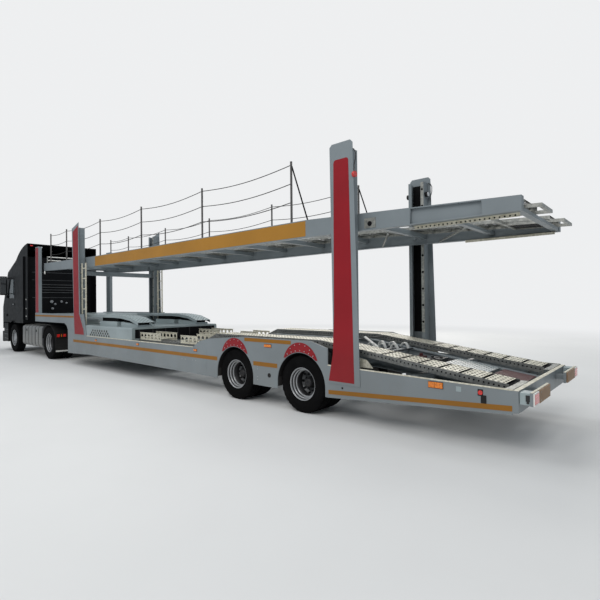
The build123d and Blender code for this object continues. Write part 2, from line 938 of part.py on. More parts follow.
def hub_drum(outer_radius, bore_radius, y_low, y_high):
    """A hub round the stub axle, closed at its outer end."""
    cap = 20
    with BuildPart() as made:
        with lying(y_low, y_high):
            Cylinder(outer_radius, y_high - y_low)
        with lying(y_low, y_high - cap):
            Cylinder(bore_radius, y_high - y_low - cap, mode=Mode.SUBTRACT)
    return made.part


barrel_wall = 12.0


def twin_rims(seat_radius, flange_radius, width, outer_y, pitch, stub_radius, hub_radius, holes):
    """Two rims bolted back to back round one hub."""
    inner_y = outer_y - pitch
    mid_y = (outer_y + inner_y) / 2
    lip = width / 2 - 38
    with BuildPart() as made:
        for y_rim in (outer_y, inner_y):
            add(rim_barrel(seat_radius, flange_radius, width, y_rim, barrel_wall))
        # the wells are joined by the drum that carries the two discs
        with lying(inner_y + lip, outer_y - lip):
            Cylinder(seat_radius - 1, pitch - 2 * lip)
            Cylinder(seat_radius - barrel_wall, pitch - 2 * lip, mode=Mode.SUBTRACT)
        disc_radius = seat_radius - barrel_wall / 2
        add(rim_disc(disc_radius, stub_radius + pin_gap, mid_y - 14, mid_y + 14, *holes))
        add(hub_drum(hub_radius, stub_radius + pin_gap, mid_y - 14, outer_y + 20))
    return made.part


# ring radius, hole radius and count of the hand holes
trailer_holes = (178.0, 26.0, 10)
tractor_holes = (210.0, 28.0, 10)
trailer_rims = twin_rims(
    trailer_seat_radius,
    trailer_flange_radius,
    trailer_tyre_width,
    trailer_outer_y,
    trailer_twin_pitch,
    trailer_stub_radius,
    108.0,
    trailer_holes,
)
drive_rims = twin_rims(
    tractor_seat_radius,
    tractor_flange_radius,
    tractor_tyre_width,
    tractor_outer_y,
    tractor_twin_pitch,
    tractor_stub_radius,
    128.0,
    tractor_holes,
)
with BuildPart() as trailer_tyres:
    for y_tyre in (trailer_outer_y, trailer_outer_y - trailer_twin_pitch):
        add(tyre(trailer_tyre_radius, trailer_tyre_width, trailer_seat_radius, y_tyre))
with BuildPart() as drive_tyres:
    for y_tyre in (tractor_outer_y, tractor_outer_y - tractor_twin_pitch):
        add(tyre(tractor_tyre_radius, tractor_tyre_width, tractor_seat_radius, y_tyre))

steer_disc_y = tractor_outer_y + 70
with BuildPart() as steer_rim:
    add(
        rim_barrel(
            tractor_seat_radius,
            tractor_flange_radius,
            tractor_tyre_width,
            tractor_outer_y,
            barrel_wall,
        )
    )
    steer_disc_radius = tractor_seat_radius - barrel_wall / 2
    steer_bore = tractor_stub_radius + pin_gap
    add(rim_disc(steer_disc_radius, steer_bore, steer_disc_y - 14, steer_disc_y + 14, *tractor_holes))
    add(hub_drum(112, steer_bore, steer_disc_y - 90, steer_disc_y + 55))
steer_tyre = tyre(tractor_tyre_radius, tractor_tyre_width, tractor_seat_radius, tractor_outer_y)

# name, x and z of the axle, tyres and rims of each wheel
wheels = (
    ("trailer_rear", rear_axle_x, trailer_tyre_radius, trailer_tyres.part, trailer_rims),
    ("trailer_front", front_axle_x, trailer_tyre_radius, trailer_tyres.part, trailer_rims),
    ("drive", drive_axle_x, tractor_tyre_radius, drive_tyres.part, drive_rims),
    ("steer", steer_axle_x, tractor_tyre_radius, steer_tyre, steer_rim.part),
)
for name, x_wheel, z_wheel, tyre_piece, rim_piece in wheels:
    for kind, piece in (("tyre", tyre_piece), ("rim", rim_piece)):
        left_piece = piece.moved(Location((x_wheel, 0, z_wheel)))
        save(left_piece, f"{name}_{kind}_left")
        save(left_piece.mirror(Plane.XZ), f"{name}_{kind}_right")


# Tractor frame

tractor_members = (10695, 11050, 12500, 13400, 14250, 15980)
rail_outline = (
    (chassis_rear_x, rail_bottom),
    (chassis_rear_x, rail_top),
    (chassis_front_x, rail_top),
    (chassis_front_x, rail_bottom),
)
rail_inner_face = rail_y - rail_width / 2
rail_outer_face = rail_y + rail_width / 2
rail_web = 10.0
step_plate = 12.0
step_plate_rear_x = 12500.0
step_plate_front_x = 13800.0
rail_web_face = rail_y + rail_web / 2
tilt_boss = 38.0
tilt_pin = 20.0
with BuildPart() as chassis_members:
    for x_member in tractor_members:
        member_reach = rail_y - rail_web / 2
        block(
            x_member - 40,
            x_member + 40,
            -member_reach,
            member_reach,
            rail_bottom + 40,
            rail_top - 60,
        )
    # step plate on the rails behind the cab
    y_plate = (-rail_outer_face, rail_outer_face)
    block(step_plate_rear_x, step_plate_front_x, *y_plate, rail_top, rail_top + step_plate)
save(chassis_members.part, "chassis_members")
with BuildPart() as tractor_chassis:
    add(both_sides(i_beam(rail_outline, rail_y, rail_width, rail_web, 12)))
    for side in (-1, 1):
        y_rail = sorted((side * rail_inner_face, side * rail_outer_face))
        block(chassis_front_x - 20, tilt_x, *y_rail, tilt_z - tilt_boss, tilt_z + tilt_boss)
        cross_rod(tilt_x, tilt_z, tilt_boss, *y_rail)
        y_pin = sorted((side * rail_outer_face, side * (rail_outer_face + 50)))
        cross_rod(tilt_x, tilt_z, tilt_pin, *y_pin)
save(tractor_chassis.part, "tractor_chassis")

plate_top = gooseneck_bottom - seat_gap
plate_low = plate_top - fifth_wheel_thickness
throat = kingpin_radius + pin_gap
with BuildPart() as fifth_wheel:
    with Locations((kingpin_x, 0, (plate_top + plate_low) / 2)):
        Cylinder(fifth_wheel_radius, fifth_wheel_thickness)
        Cylinder(throat, fifth_wheel_thickness, mode=Mode.SUBTRACT)
    with BuildSketch(Plane.XY.offset(plate_low)):
        with BuildLine():
            Polyline(
                (kingpin_x, throat),
                (kingpin_x - 160, throat + 4),
                (kingpin_x - fifth_wheel_radius - 5, 190),
                (kingpin_x - fifth_wheel_radius - 5, -190),
                (kingpin_x - 160, -throat - 4),
                (kingpin_x, -throat),
                close=True,
            )
        make_face()
    extrude(amount=fifth_wheel_thickness, mode=Mode.SUBTRACT)
    for y_foot in (-rail_y, rail_y):
        block(kingpin_x - 140, kingpin_x + 140, y_foot - 50, y_foot + 50, rail_top, plate_low)
save(fifth_wheel.part, "fifth_wheel")


# Axles of the tractor

with BuildPart() as tractor_axles:
    cross_rod(drive_axle_x, tractor_tyre_radius, 88, -560, 560)
    cross_rod(drive_axle_x, tractor_tyre_radius, tractor_stub_radius, -tractor_stub_end, tractor_stub_end)
    with Locations((drive_axle_x, 0, tractor_tyre_radius)):
        Sphere(190)
    for y_rail in (-rail_y, rail_y):
        x_low = drive_axle_x - 60
        block(x_low, x_low + 120, y_rail - 50, y_rail + 50, tractor_tyre_radius, rail_bottom)
        block(drive_axle_x - 420, drive_axle_x + 420, y_rail - 40, y_rail + 40, 600, 640)
        for x_bag in (drive_axle_x - 320, drive_axle_x + 320):
            with Locations((x_bag, y_rail, (640 + rail_bottom) / 2)):
                Cylinder(110, rail_bottom - 640)
        block(steer_axle_x - 50, steer_axle_x + 50, y_rail - 40, y_rail + 40, 500, rail_bottom)
        block(steer_axle_x - 600, steer_axle_x + 600, y_rail - 38, y_rail + 38, 640, 680)
        for x_shackle in (steer_axle_x - 590, steer_axle_x + 590):
            block(x_shackle - 25, x_shackle + 25, y_rail - 38, y_rail + 38, 640, rail_bottom)
    for y_boss in (-steer_y, steer_y):
        with Locations((steer_axle_x, y_boss, 510)):
            Cylinder(52, 140)
    block(steer_axle_x - 50, steer_axle_x + 50, -steer_y, steer_y, 440, 540)
save(tractor_axles.part, "tractor_axles")

fork_inner = 68.0
fork_outer = 102.0
fork_low = 370.0
fork_high = 650.0
for side_name, side in (("left", 1), ("right", -1)):
    with BuildPart() as knuckle:
        y_arm = sorted((side * steer_y, side * (steer_y + fork_outer)))
        y_web = sorted((side * (steer_y + fork_inner), side * (steer_y + fork_outer)))
        y_stub = sorted((side * (steer_y + fork_inner), side * (steer_disc_y + 30)))
        for z_low, z_high in ((fork_low, 440 - slide_gap), (580 + slide_gap, fork_high)):
            with Locations((steer_axle_x, side * steer_y, (z_low + z_high) / 2)):
                Cylinder(50, z_high - z_low)
            block(steer_axle_x - 50, steer_axle_x + 50, *y_arm, z_low, z_high)
        block(steer_axle_x - 50, steer_axle_x + 50, *y_web, fork_low, fork_high)
        cross_rod(steer_axle_x, tractor_tyre_radius, tractor_stub_radius, *y_stub)
    save(knuckle.part, f"knuckle_{side_name}")


# Engine, one plain block on four feet between the rails

engine_rear_x = 14450.0
engine_front_x = 15700.0
engine_half = 320.0
engine_foot = 60.0
with BuildPart() as engine:
    block(engine_rear_x, engine_front_x, -engine_half, engine_half, 560, 1270)
    for x_foot in (engine_rear_x + 150, engine_front_x - 150):
        foot_reach = rail_y - rail_web / 2
        block(x_foot - engine_foot, x_foot + engine_foot, -foot_reach, foot_reach, 780, 840)
save(engine.part, "engine")


# Tanks along the sides of the tractor

tank_rear_x = 12050.0
tank_front_x = 13990.0
tank_low = 320.0
tank_high = 1040.0
tank_inner_y = 610.0
tank_outer_y = 1220.0
tank_round = 120.0
tank_ribs = 6
tank_groove = 15.0
groove_half = 25.0
rib_pitch = (tank_front_x - tank_rear_x) / tank_ribs


def tank_section(x, inset):
    """The tank's rounded section at that x, so far inside its outer skin."""
    with BuildSketch(Plane.YZ.offset(x)) as section:
        with Locations(((tank_inner_y + tank_outer_y) / 2, (tank_low + tank_high) / 2)):
            RectangleRounded(
                tank_outer_y - tank_inner_y - 2 * inset,
                tank_high - tank_low - 2 * inset,
                tank_round - inset,
            )
    return section.sketch


with BuildPart() as side_tank:
    extrude(tank_section(tank_rear_x, tank_groove), amount=tank_front_x - tank_rear_x)
    for rib in range(tank_ribs):
        x_rib = tank_rear_x + rib_pitch * rib + groove_half
        extrude(tank_section(x_rib, 0), amount=rib_pitch - 2 * groove_half)
    for x_strap in (tank_rear_x + rib_pitch * 1.5, tank_front_x - rib_pitch * 1.5):
        block(x_strap - 40, x_strap + 40, rail_web_face, tank_inner_y + 20, rail_bottom + 30, 850)
save(both_sides(side_tank.part), "side_tanks")


# Guards over the drive wheels

guard_inner = 560.0
guard_outer = 572.0
guard_inner_y = 588.0
guard_outer_y = 1232.0
flap_low = 240.0
flap_high = 850.0
flap_sheet = 8.0
flap_x = drive_axle_x - guard_inner * math.cos(math.radians(12)) - 4
with BuildPart() as rear_guard:
    with BuildSketch(side_plane(guard_outer_y)):
        with BuildLine():
            centre = (drive_axle_x, tractor_tyre_radius)
            outer = CenterArc(centre, guard_outer, 12, 156)
            inner = CenterArc(centre, guard_inner, 12, 156)
            Line(outer @ 0, inner @ 0)
            Line(outer @ 1, inner @ 1)
        make_face()
    extrude(amount=guard_outer_y - guard_inner_y)
    block(flap_x - flap_sheet, flap_x, guard_inner_y, guard_outer_y, flap_low, flap_high)
    stay = (drive_axle_x - 30, drive_axle_x + 30)
    block(*stay, guard_inner_y, guard_inner_y + 12, 860, tractor_tyre_radius + guard_inner + 2)
    block(*stay, rail_web_face, guard_inner_y + 12, 860, 900)
save(both_sides(rear_guard.part), "rear_guards")


# Cab

screen_low = (16130.0, 1850.0)
screen_high = (15600.0, 2960.0)
cab_outline = (
    (cab_rear_x, cab_floor),
    (cab_rear_x, 3450),
    (14480, 3420),
    screen_high,
    screen_low,
    (cab_front_x, 1650),
    (cab_front_x, cab_skirt),
    (cab_front_x - cab_wall, cab_skirt),
    (cab_front_x - cab_wall, cab_floor),
)
cab_hollow = (
    (cab_rear_x + cab_wall, cab_floor + cab_wall),
    (cab_rear_x + cab_wall, 3395),
    (14470, 3365),
    (15560, 2915),
    (16075, 1840),
    (cab_front_x - cab_wall, 1640),
    (cab_front_x - cab_wall, cab_floor + cab_wall),
)
door_shoulder_x = 15440.0
door_pillar_z = 2240.0
door_outline = (
    (door_rear_x, door_bottom),
    (door_rear_x, door_top),
    (door_shoulder_x, door_top),
    (door_front_x, door_pillar_z),
    (door_front_x, door_bottom),
)
door_opening = (
    (door_rear_x - door_gap, door_bottom - door_gap),
    (door_rear_x - door_gap, door_top + door_gap),
    (door_shoulder_x + door_gap, door_top + door_gap),
    (door_front_x + door_gap, door_pillar_z + door_gap),
    (door_front_x + door_gap, door_bottom - door_gap),
)
hinge_x = door_front_x + door_gap / 2
hinge_y = cab_half + hinge_out
hinge_radius = 13.0
hinge_zs = (1350.0, 2050.0)
barrel_height = 45.0
tunnel_rear_x = 14150.0
tunnel_front_x = 15950.0
tunnel_half = 400.0
tunnel_top = 1380.0
tunnel_wall = 20.0


def along_screen(share, inwards):
    """A point so far up the windscreen's line and so far inside the skin."""
    run_x = screen_high[0] - screen_low[0]
    run_z = screen_high[1] - screen_low[1]
    length = math.hypot(run_x, run_z)
    x = screen_low[0] + run_x * share - run_z / length * inwards
    z = screen_low[1] + run_z * share + run_x / length * inwards
    return (x, z)


def screen_slab(outside, inside):
    """A slanted slab along the windscreen, in side view."""
    low = 0.06
    high = 0.93
    return (
        along_screen(low, outside),
        along_screen(high, outside),
        along_screen(high, inside),
        along_screen(low, inside),
    )


screen_half = cab_half - 130.0
rib_depth = 20.0
rib_half = 760.0
wall_ribs = (2164.0, 2260.0, 2356.0, 2452.0)
grille_half = 860.0
grille_bars = (920.0, 1050.0, 1180.0, 1310.0, 1440.0)
visor_half = 1080.0
visor_outline = ((15570, 2968), (15860, 2850), (15860, 2825), (15600, 2928))
with BuildPart() as cab_shell:
    add(plate(cab_outline, cab_half, 2 * cab_half))
    add(plate(cab_hollow, cab_half - cab_wall, 2 * (cab_half - cab_wall)), mode=Mode.SUBTRACT)
    add(plate(door_opening, cab_half, 2 * cab_half), mode=Mode.SUBTRACT)
    add(plate(screen_slab(-80, 120), screen_half, 2 * screen_half), mode=Mode.SUBTRACT)
    # engine tunnel through the floor
    block(tunnel_rear_x, tunnel_front_x, -tunnel_half, tunnel_half, cab_floor, tunnel_top)
    block(
        tunnel_rear_x + tunnel_wall,
        tunnel_front_x - tunnel_wall,
        tunnel_wall - tunnel_half,
        tunnel_half - tunnel_wall,
        cab_floor,
        tunnel_top - tunnel_wall,
        Mode.SUBTRACT,
    )
    # ribs of the rear wall, bars of the grille and a visor over the windscreen
    for z_rib in wall_ribs:
        block(cab_rear_x - rib_depth, cab_rear_x + 5, -rib_half, rib_half, z_rib - 22, z_rib + 22)
    for z_bar in grille_bars:
        block(cab_front_x - 5, cab_front_x + rib_depth, -grille_half, grille_half, z_bar - 35, z_bar + 35)
    add(plate(visor_outline, visor_half, 2 * visor_half))
    for side in (-1, 1):
        # wheel arches in the side walls
        y_wall = sorted((side * (cab_half - cab_wall), side * cab_half))
        cross_rod(steer_axle_x, tractor_tyre_radius, 645, *y_wall, Mode.SUBTRACT)
        # tilt lugs under the floor
        y_lug = sorted((side * (rail_outer_face + 10), side * (rail_outer_face + 40)))
        block(tilt_x - 36, tilt_x + 36, *y_lug, tilt_z, cab_floor + 10)
        cross_rod(tilt_x, tilt_z, 36, *y_lug)
        cross_rod(tilt_x, tilt_z, tilt_pin + pin_gap, *y_lug, Mode.SUBTRACT)
        # lower halves of the door hinges
        y_arm = sorted((side * (cab_half - 20), side * hinge_y))
        for z_hinge in hinge_zs:
            with Locations((hinge_x, side * hinge_y, z_hinge - barrel_height / 2)):
                Cylinder(hinge_radius, barrel_height)
            block(hinge_x + 4, hinge_x + 40, *y_arm, z_hinge - barrel_height, z_hinge)
save(cab_shell.part, "cab_shell")

with BuildPart() as windscreen:
    add(plate(screen_slab(20, 20 + glass), screen_half, 2 * screen_half))
save(windscreen.part, "windscreen")

window_low = 1980.0
window_border = 90.0
window_outline = (
    (door_rear_x + window_border, window_low),
    (door_rear_x + window_border, door_top - window_border),
    (door_shoulder_x - 50, door_top - window_border),
    (door_front_x - window_border, door_pillar_z - 40),
    (door_front_x - window_border, window_low),
)
mirror_x = 15420.0
mirror_low = 2100.0
mirror_high = 2800.0
with BuildPart() as door:
    add(plate(door_outline, cab_half, cab_wall))
    add(plate(window_outline, cab_half, cab_wall), mode=Mode.SUBTRACT)
    for z_hinge in hinge_zs:
        z_barrel = z_hinge + slide_gap
        with Locations((hinge_x, hinge_y, z_barrel + barrel_height / 2)):
            Cylinder(hinge_radius, barrel_height)
        block(hinge_x - 45, hinge_x - 4, cab_half - 20, hinge_y, z_barrel, z_barrel + barrel_height)
    # mirror head on two arms
    block(mirror_x - 60, mirror_x + 60, cab_half + 90, cab_half + 300, mirror_low, mirror_high)
    for z_arm in (mirror_low + 40, mirror_high - 80):
        block(mirror_x - 15, mirror_x + 15, cab_half - 20, cab_half + 95, z_arm, z_arm + 30)
door_pane = plate(window_outline, cab_half - 25, glass)
save(door.part, "door_left")
save(door.part.mirror(Plane.XZ), "door_right")
save(door_pane, "door_glass_left")
save(door_pane.mirror(Plane.XZ), "door_glass_right")

cab_inner_half = cab_half - cab_wall
floor_top = cab_floor + cab_wall
with BuildPart() as cab_interior:
    for y_seat in (-740, 740):
        block(14500, 15000, y_seat - 240, y_seat + 240, floor_top, 1560)
        block(14480, 14600, y_seat - 230, y_seat + 230, 1560, 2230)
    block(cab_rear_x + cab_wall, 14400, -cab_inner_half, cab_inner_half, 1420, 1600)
    block(15720, 16050, -cab_inner_half, cab_inner_half, 1450, 1760)
    # steering wheel on its column, which leans back from the dashboard
    with Locations(Location((15450, 740, 1830), (0, 120, 0))):
        Torus(215, 16)
        Box(420, 36, 18)
        Box(36, 420, 18)
        with Locations((0, 0, 175)):
            Cylinder(24, 350)
save(cab_interior.part, "cab_interior")

deflector_half = 1190.0
deflector_wall = 20.0
panel_rear_x = 13560.0
panel_low = 1200.0
with BuildPart() as roof_deflector:
    with BuildSketch(side_plane(deflector_half)):
        with BuildLine():
            ThreePointArc((14950, 3262), (14300, 3700), (panel_rear_x, 3890))
            Polyline(
                (panel_rear_x, 3890),
                (panel_rear_x, 3480),
                (cab_rear_x, 3480),
                (cab_rear_x, 3450),
                (14480, 3420),
                (14950, 3227),
                (14950, 3262),
            )
        make_face()
    extrude(amount=2 * deflector_half)
    with BuildSketch(side_plane(deflector_half - deflector_wall)):
        with BuildLine():
            ThreePointArc((14880, 3240), (14280, 3672), (panel_rear_x - 60, 3866))
            Polyline(
                (panel_rear_x - 60, 3866),
                (panel_rear_x - 60, 3400),
                (14480, 3400),
                (14880, 3200),
                (14880, 3240),
            )
        make_face()
    extrude(amount=2 * (deflector_half - deflector_wall), mode=Mode.SUBTRACT)
    # side panels down the rear edges of the cab
    for side in (-1, 1):
        y_panel = sorted((side * (deflector_half - deflector_wall), side * deflector_half))
        block(panel_rear_x, cab_rear_x, *y_panel, panel_low, 3500)
save(roof_deflector.part, "roof_deflector")


# Bumper and steps

with BuildPart() as front_bumper:
    block(16090, bumper_front_x, -cab_half, cab_half, 330, bumper_top)
    for side in (-1, 1):
        y_step = sorted((side * 930, side * cab_half))
        block(15600, 16095, *y_step, 350, 1050)
        y_hanger = sorted((side * (rail_y - 20), side * (rail_y + 20)))
        block(15900, 16100, *y_hanger, 600, rail_bottom)
save(front_bumper.part, "front_bumper")

tail_seat_x = flap_x - flap_sheet - seat_gap
tail_depth = 55.0
tail_inner_y, tail_outer_y = 930.0, 1210.0
tail_low, tail_high = 715.0, 815.0
with BuildPart() as tractor_lamps:
    for side in (-1, 1):
        y_head = sorted((side * 800, side * 1180))
        block(bumper_front_x, bumper_front_x + headlamp_depth, *y_head, 430, 640)
        y_tail = sorted((side * tail_inner_y, side * tail_outer_y))
        block(tail_seat_x - tail_depth, tail_seat_x, *y_tail, tail_low, tail_high)
save(tractor_lamps.part, "tractor_lamps")


os.makedirs("parts", exist_ok=True)
for piece, name in finished:
    export_step(piece, f"parts/{name}.step")
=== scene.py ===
import json
import math

import bmesh
import bpy
from mathutils import Matrix, Vector


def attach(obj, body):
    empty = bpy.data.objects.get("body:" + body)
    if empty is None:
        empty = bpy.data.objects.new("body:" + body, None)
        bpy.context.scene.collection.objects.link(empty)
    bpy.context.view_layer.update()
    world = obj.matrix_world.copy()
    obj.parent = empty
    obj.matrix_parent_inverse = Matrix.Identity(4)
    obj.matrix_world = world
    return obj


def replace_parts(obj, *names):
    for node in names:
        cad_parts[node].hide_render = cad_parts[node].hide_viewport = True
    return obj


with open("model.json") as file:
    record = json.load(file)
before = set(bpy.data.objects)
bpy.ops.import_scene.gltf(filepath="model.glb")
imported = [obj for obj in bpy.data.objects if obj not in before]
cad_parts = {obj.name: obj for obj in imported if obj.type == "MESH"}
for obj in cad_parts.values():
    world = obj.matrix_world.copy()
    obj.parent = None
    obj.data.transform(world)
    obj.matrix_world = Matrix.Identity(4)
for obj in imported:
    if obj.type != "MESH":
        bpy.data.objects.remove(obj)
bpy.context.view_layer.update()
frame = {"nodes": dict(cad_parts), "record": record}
nodes = frame["nodes"]

# Places are in metres from the centre of the rear columns, as in the CAD source. A shape is written
# for the left side, and its own side, 1 or -1, turns every Y.
SIDES = ((1, "left"), (-1, "right"))
MIDDLE = 6.915
HALF_WIDTH = 1.25
PLATE_OUT = 1.258
SKIN_IN = 1.238
TRACK_IN = 0.61
TRACK_OUT = 1.06
TRACK_LIP = 0.012
REAR_AXLE = 0.82
FRONT_AXLE = 2.38
DRIVE_AXLE = 11.45
STEER_AXLE = 14.95
TRAILER_WHEEL_Z = 0.448
TRACTOR_WHEEL_Z = 0.515
REAR_COLUMN = 0.0
FRONT_COLUMN = 9.25
COLUMN_IN = 1.07
UPPER_OUT = 1.045
UPPER_TOP = ((12.4, 3.11), (8.6, 3.055), (0.85, 3.03), (-0.9, 2.955), (-2.3, 2.895))
UPPER_LOW = ((12.4, 2.86), (8.6, 2.765), (0.85, 2.755), (-0.9, 2.725), (-2.3, 2.72))
UPPER_TRACK = tuple((x, z - 0.03) for x, z in UPPER_TOP)
UPPER_TRACK_IN = 0.34
UPPER_TRACK_OUT = 0.925
LOWER_TRACK = ((6.09, 0.88), (3.76, 0.88), (3.13, 1.135), (0.56, 1.135), (-2.15, 0.77))
HUMP_TRACK = ((9.3, 1.434), (7.4, 1.44), (7.0, 1.428), (6.55, 1.38), (6.15, 1.268))
HUMP_FOOT = 1.156
PLATE_PITCH = 0.272
PLATE_LENGTH = 0.232
GUARD_Y = 0.997
GUARD_POSTS = (1.2, 3.65, 6.07, 8.28, 10.6, 11.9)
ROPE_LEVELS = (3.99, 3.68, 3.37)
ROPE_SAG = 0.031
CAB_REAR = 13.88
DUST = (0.19, 0.165, 0.13, 1)
DUST_HEIGHTS = (0.2, 1.5)
BACKDROP = (0.90, 0.91, 0.92, 1)
BACKDROP_POWER = 0.95


# Materials

def node_set(name):
    made = bpy.data.materials.new(name)
    made.use_nodes = True
    return made, made.node_tree, made.node_tree.nodes["Principled BSDF"]


def settle(node, **values):
    """Set a node's inputs to values or link them to sources; each _ stands for a space."""
    for name, value in values.items():
        socket = node.inputs[name.replace("_", " ")]
        if isinstance(value, bpy.types.NodeSocket):
            node.id_data.links.new(value, socket)
        else:
            socket.default_value = value
    return node


def add(tree, kind, **values):
    return settle(tree.nodes.new("ShaderNode" + kind), **values)


def noise(tree, scale, detail=3.0, stretch=(1, 1, 1)):
    place = add(tree, "Mapping", Vector=add(tree, "TexCoord").outputs["Object"], Scale=stretch)
    return add(tree, "TexNoise", Vector=place.outputs["Vector"], Scale=scale, Detail=detail).outputs["Fac"]


def cells(tree, scale):
    place = add(tree, "TexCoord").outputs["Object"]
    return add(tree, "TexVoronoi", Vector=place, Scale=scale).outputs


def ramp(tree, source, *stops):
    made = add(tree, "ValToRGB", Fac=source)
    for element, (place, colour) in zip(made.color_ramp.elements, stops):
        element.position = place
        element.color = (*colour, 1)
    return made.outputs["Color"]


def spread(tree, source, low, high, start=0.0, end=1.0):
    return add(tree, "MapRange", Value=source, From_Min=start, From_Max=end,
               To_Min=low, To_Max=high).outputs["Result"]


def product(tree, first, second):
    made = add(tree, "Math")
    made.operation = "MULTIPLY"
    tree.links.new(first, made.inputs[0])
    tree.links.new(second, made.inputs[1])
    return made.outputs["Value"]


def bump(tree, source, strength, distance):
    return add(tree, "Bump", Height=source, Strength=strength, Distance=distance).outputs["Normal"]


def mixed_surface(tree, output, share, first, second):
    """The first shader where the share is 0 and the second where it is 1."""
    mixed = add(tree, "MixShader")
    for socket, source in zip(mixed.inputs, (share, first, second)):
        tree.links.new(source, socket)
    tree.links.new(mixed.outputs["Shader"], tree.nodes[output].inputs["Surface"])


def shade(colour, factor):
    return tuple(min(1.0, channel * factor) for channel in colour)


def surface(name, colour, rough, metal=0.0, vary=0.16, patch=1.3, grain=0.0, grain_scale=90.0,
            stretch=(1, 1, 1), dirt=0.0, coat=0.0, mirror=0.5):
    """A finish whose colour and gloss wander, with fine grain and road dust towards the ground."""
    made, tree, shader = node_set(name)
    result = ramp(tree, noise(tree, patch, 5.0, stretch),
                  (0.32, shade(colour, 1 - vary)), (0.68, shade(colour, 1 + vary * 0.7)))
    if dirt:
        place = add(tree, "SeparateXYZ", Vector=add(tree, "NewGeometry").outputs["Position"])
        height = spread(tree, place.outputs["Z"], dirt, 0.05 * dirt, *DUST_HEIGHTS)
        share = product(tree, height, noise(tree, 5.0, 6.0, (1, 1, 0.35)))
        result = add(tree, "MixRGB", Fac=share, Color1=result, Color2=DUST).outputs["Color"]
    gloss = spread(tree, noise(tree, 7.0, 4.0, stretch), rough * 0.75, min(1.0, rough * 1.3))
    settle(shader, Base_Color=result, Roughness=gloss, Metallic=metal, Specular_IOR_Level=mirror)
    if coat:
        settle(shader, Coat_Weight=coat, Coat_Roughness=0.08)
    if grain:
        settle(shader, Normal=bump(tree, noise(tree, grain_scale, 4.0, stretch), grain, 0.002))
    return made


def spangled(name, dark, light, rough, metal):
    """Zinc coat: crystals of slightly different grey."""
    made, tree, shader = node_set(name)
    grey = add(tree, "SeparateColor", Color=cells(tree, 34.0)["Color"]).outputs
    stain = add(tree, "MixRGB", Fac=spread(tree, noise(tree, 1.7, 5.0), 0.0, 0.9),
                Color1=ramp(tree, grey["Red"], (0.1, dark), (0.9, light)), Color2=(0.72, 0.69, 0.62, 1))
    stain.blend_type = "MULTIPLY"
    settle(shader, Base_Color=stain.outputs["Color"], Metallic=metal,
           Roughness=spread(tree, grey["Green"], rough * 0.8, rough * 1.25))
    return made


def lens(name, colour, glow):
    """Moulded lamp lens with small prisms."""
    made, tree, shader = node_set(name)
    depth = cells(tree, 95.0)["Distance"]
    tint = ramp(tree, depth, (0.0, shade(colour, 1.4)), (0.7, shade(colour, 0.6)))
    settle(shader, Base_Color=tint, Emission_Color=tint, Emission_Strength=glow, Roughness=0.12,
           Coat_Weight=0.6, Normal=bump(tree, depth, 0.5, 0.003))
    return made


def glazing(name, colour):
    made, tree, shader = node_set(name)
    settle(shader, Base_Color=(*colour, 1), Roughness=spread(tree, noise(tree, 3.0), 0.02, 0.09),
           Transmission_Weight=0.75, IOR=1.45)
    return made


PAINT = surface("trailer_paint", (0.19, 0.22, 0.236), 0.45, vary=0.10, grain=0.10, dirt=0.30, coat=0.10)
# a lighter copy of the trailer paint: painted light on the hump's cover, the sides of its tracks and the
# centre sheet
PAINT_LIT = surface("paint_lit_copy", (0.26, 0.31, 0.32), 0.34, grain=0.10, coat=0.2)
YELLOW = surface("yellow_film", (0.36, 0.165, 0.011), 0.45, vary=0.08, grain=0.05, dirt=0.15)
STRIPE = surface("stripe_film", (0.27, 0.112, 0.006), 0.5, vary=0.08, grain=0.05, dirt=0.12, mirror=0.3)
PALE = surface("pale_steel", (0.31, 0.37, 0.38), 0.4, vary=0.12, grain=0.08, dirt=0.05)
RED = surface("red_film", (0.245, 0.004, 0.010), 0.42, vary=0.10, grain=0.05, dirt=0.08, mirror=0.3)
ZINC = spangled("zinc", (0.30, 0.31, 0.30), (0.46, 0.47, 0.45), 0.42, 0.55)
CREAM = spangled("cream_zinc", (0.58, 0.56, 0.46), (0.78, 0.76, 0.66), 0.55, 0.10)
GEAR = surface("running_gear_black", (0.018, 0.018, 0.02), 0.66, vary=0.3, grain=0.35, grain_scale=40,
               dirt=0.18, mirror=0.3)
CHASSIS = surface("chassis_black", (0.022, 0.023, 0.025), 0.55, vary=0.25, grain=0.2, dirt=0.15, mirror=0.3)
IRON = surface("engine_iron_grey", (0.07, 0.072, 0.075), 0.6, metal=0.4, vary=0.3, grain=0.4, grain_scale=30)
ALUMINIUM = surface("aluminium_sheet", (0.30, 0.30, 0.29), 0.34, metal=0.85, vary=0.12, grain=0.15,
                    grain_scale=60, stretch=(0.2, 6, 6), dirt=0.2)
PLASTIC = surface("black_plastic_grain", (0.010, 0.010, 0.011), 0.66, vary=0.25, grain=0.5,
                  grain_scale=260, dirt=0.08, mirror=0.25)
BLACK = surface("black_gloss", (0.004, 0.0045, 0.0055), 0.42, vary=0.25, grain=0.03, dirt=0.01, coat=0.02,
                mirror=0.1)
RUBBER = surface("tyre_rubber", (0.0042, 0.0042, 0.0046), 0.9, vary=0.3, patch=6, grain=0.35,
                 grain_scale=170, dirt=0.012, mirror=0.05)
RIM = surface("rim_silver", (0.40, 0.41, 0.42), 0.30, metal=0.45, vary=0.06, grain=0.03, dirt=0.08)
# dark grey for painted shade on the twin wheels' discs and between the tank's ribs, and for painted
# highlights as strips on the cab's black rear wall
GREY_SHADE_AND_SHEEN = surface("grey_shade_and_sheen", (0.10, 0.105, 0.11), 0.4, metal=0.5, vary=0.2, grain=0.1, dirt=0.08)
RAIL = spangled("rail_zinc", (0.13, 0.14, 0.14), (0.22, 0.225, 0.22), 0.5, 0.3)
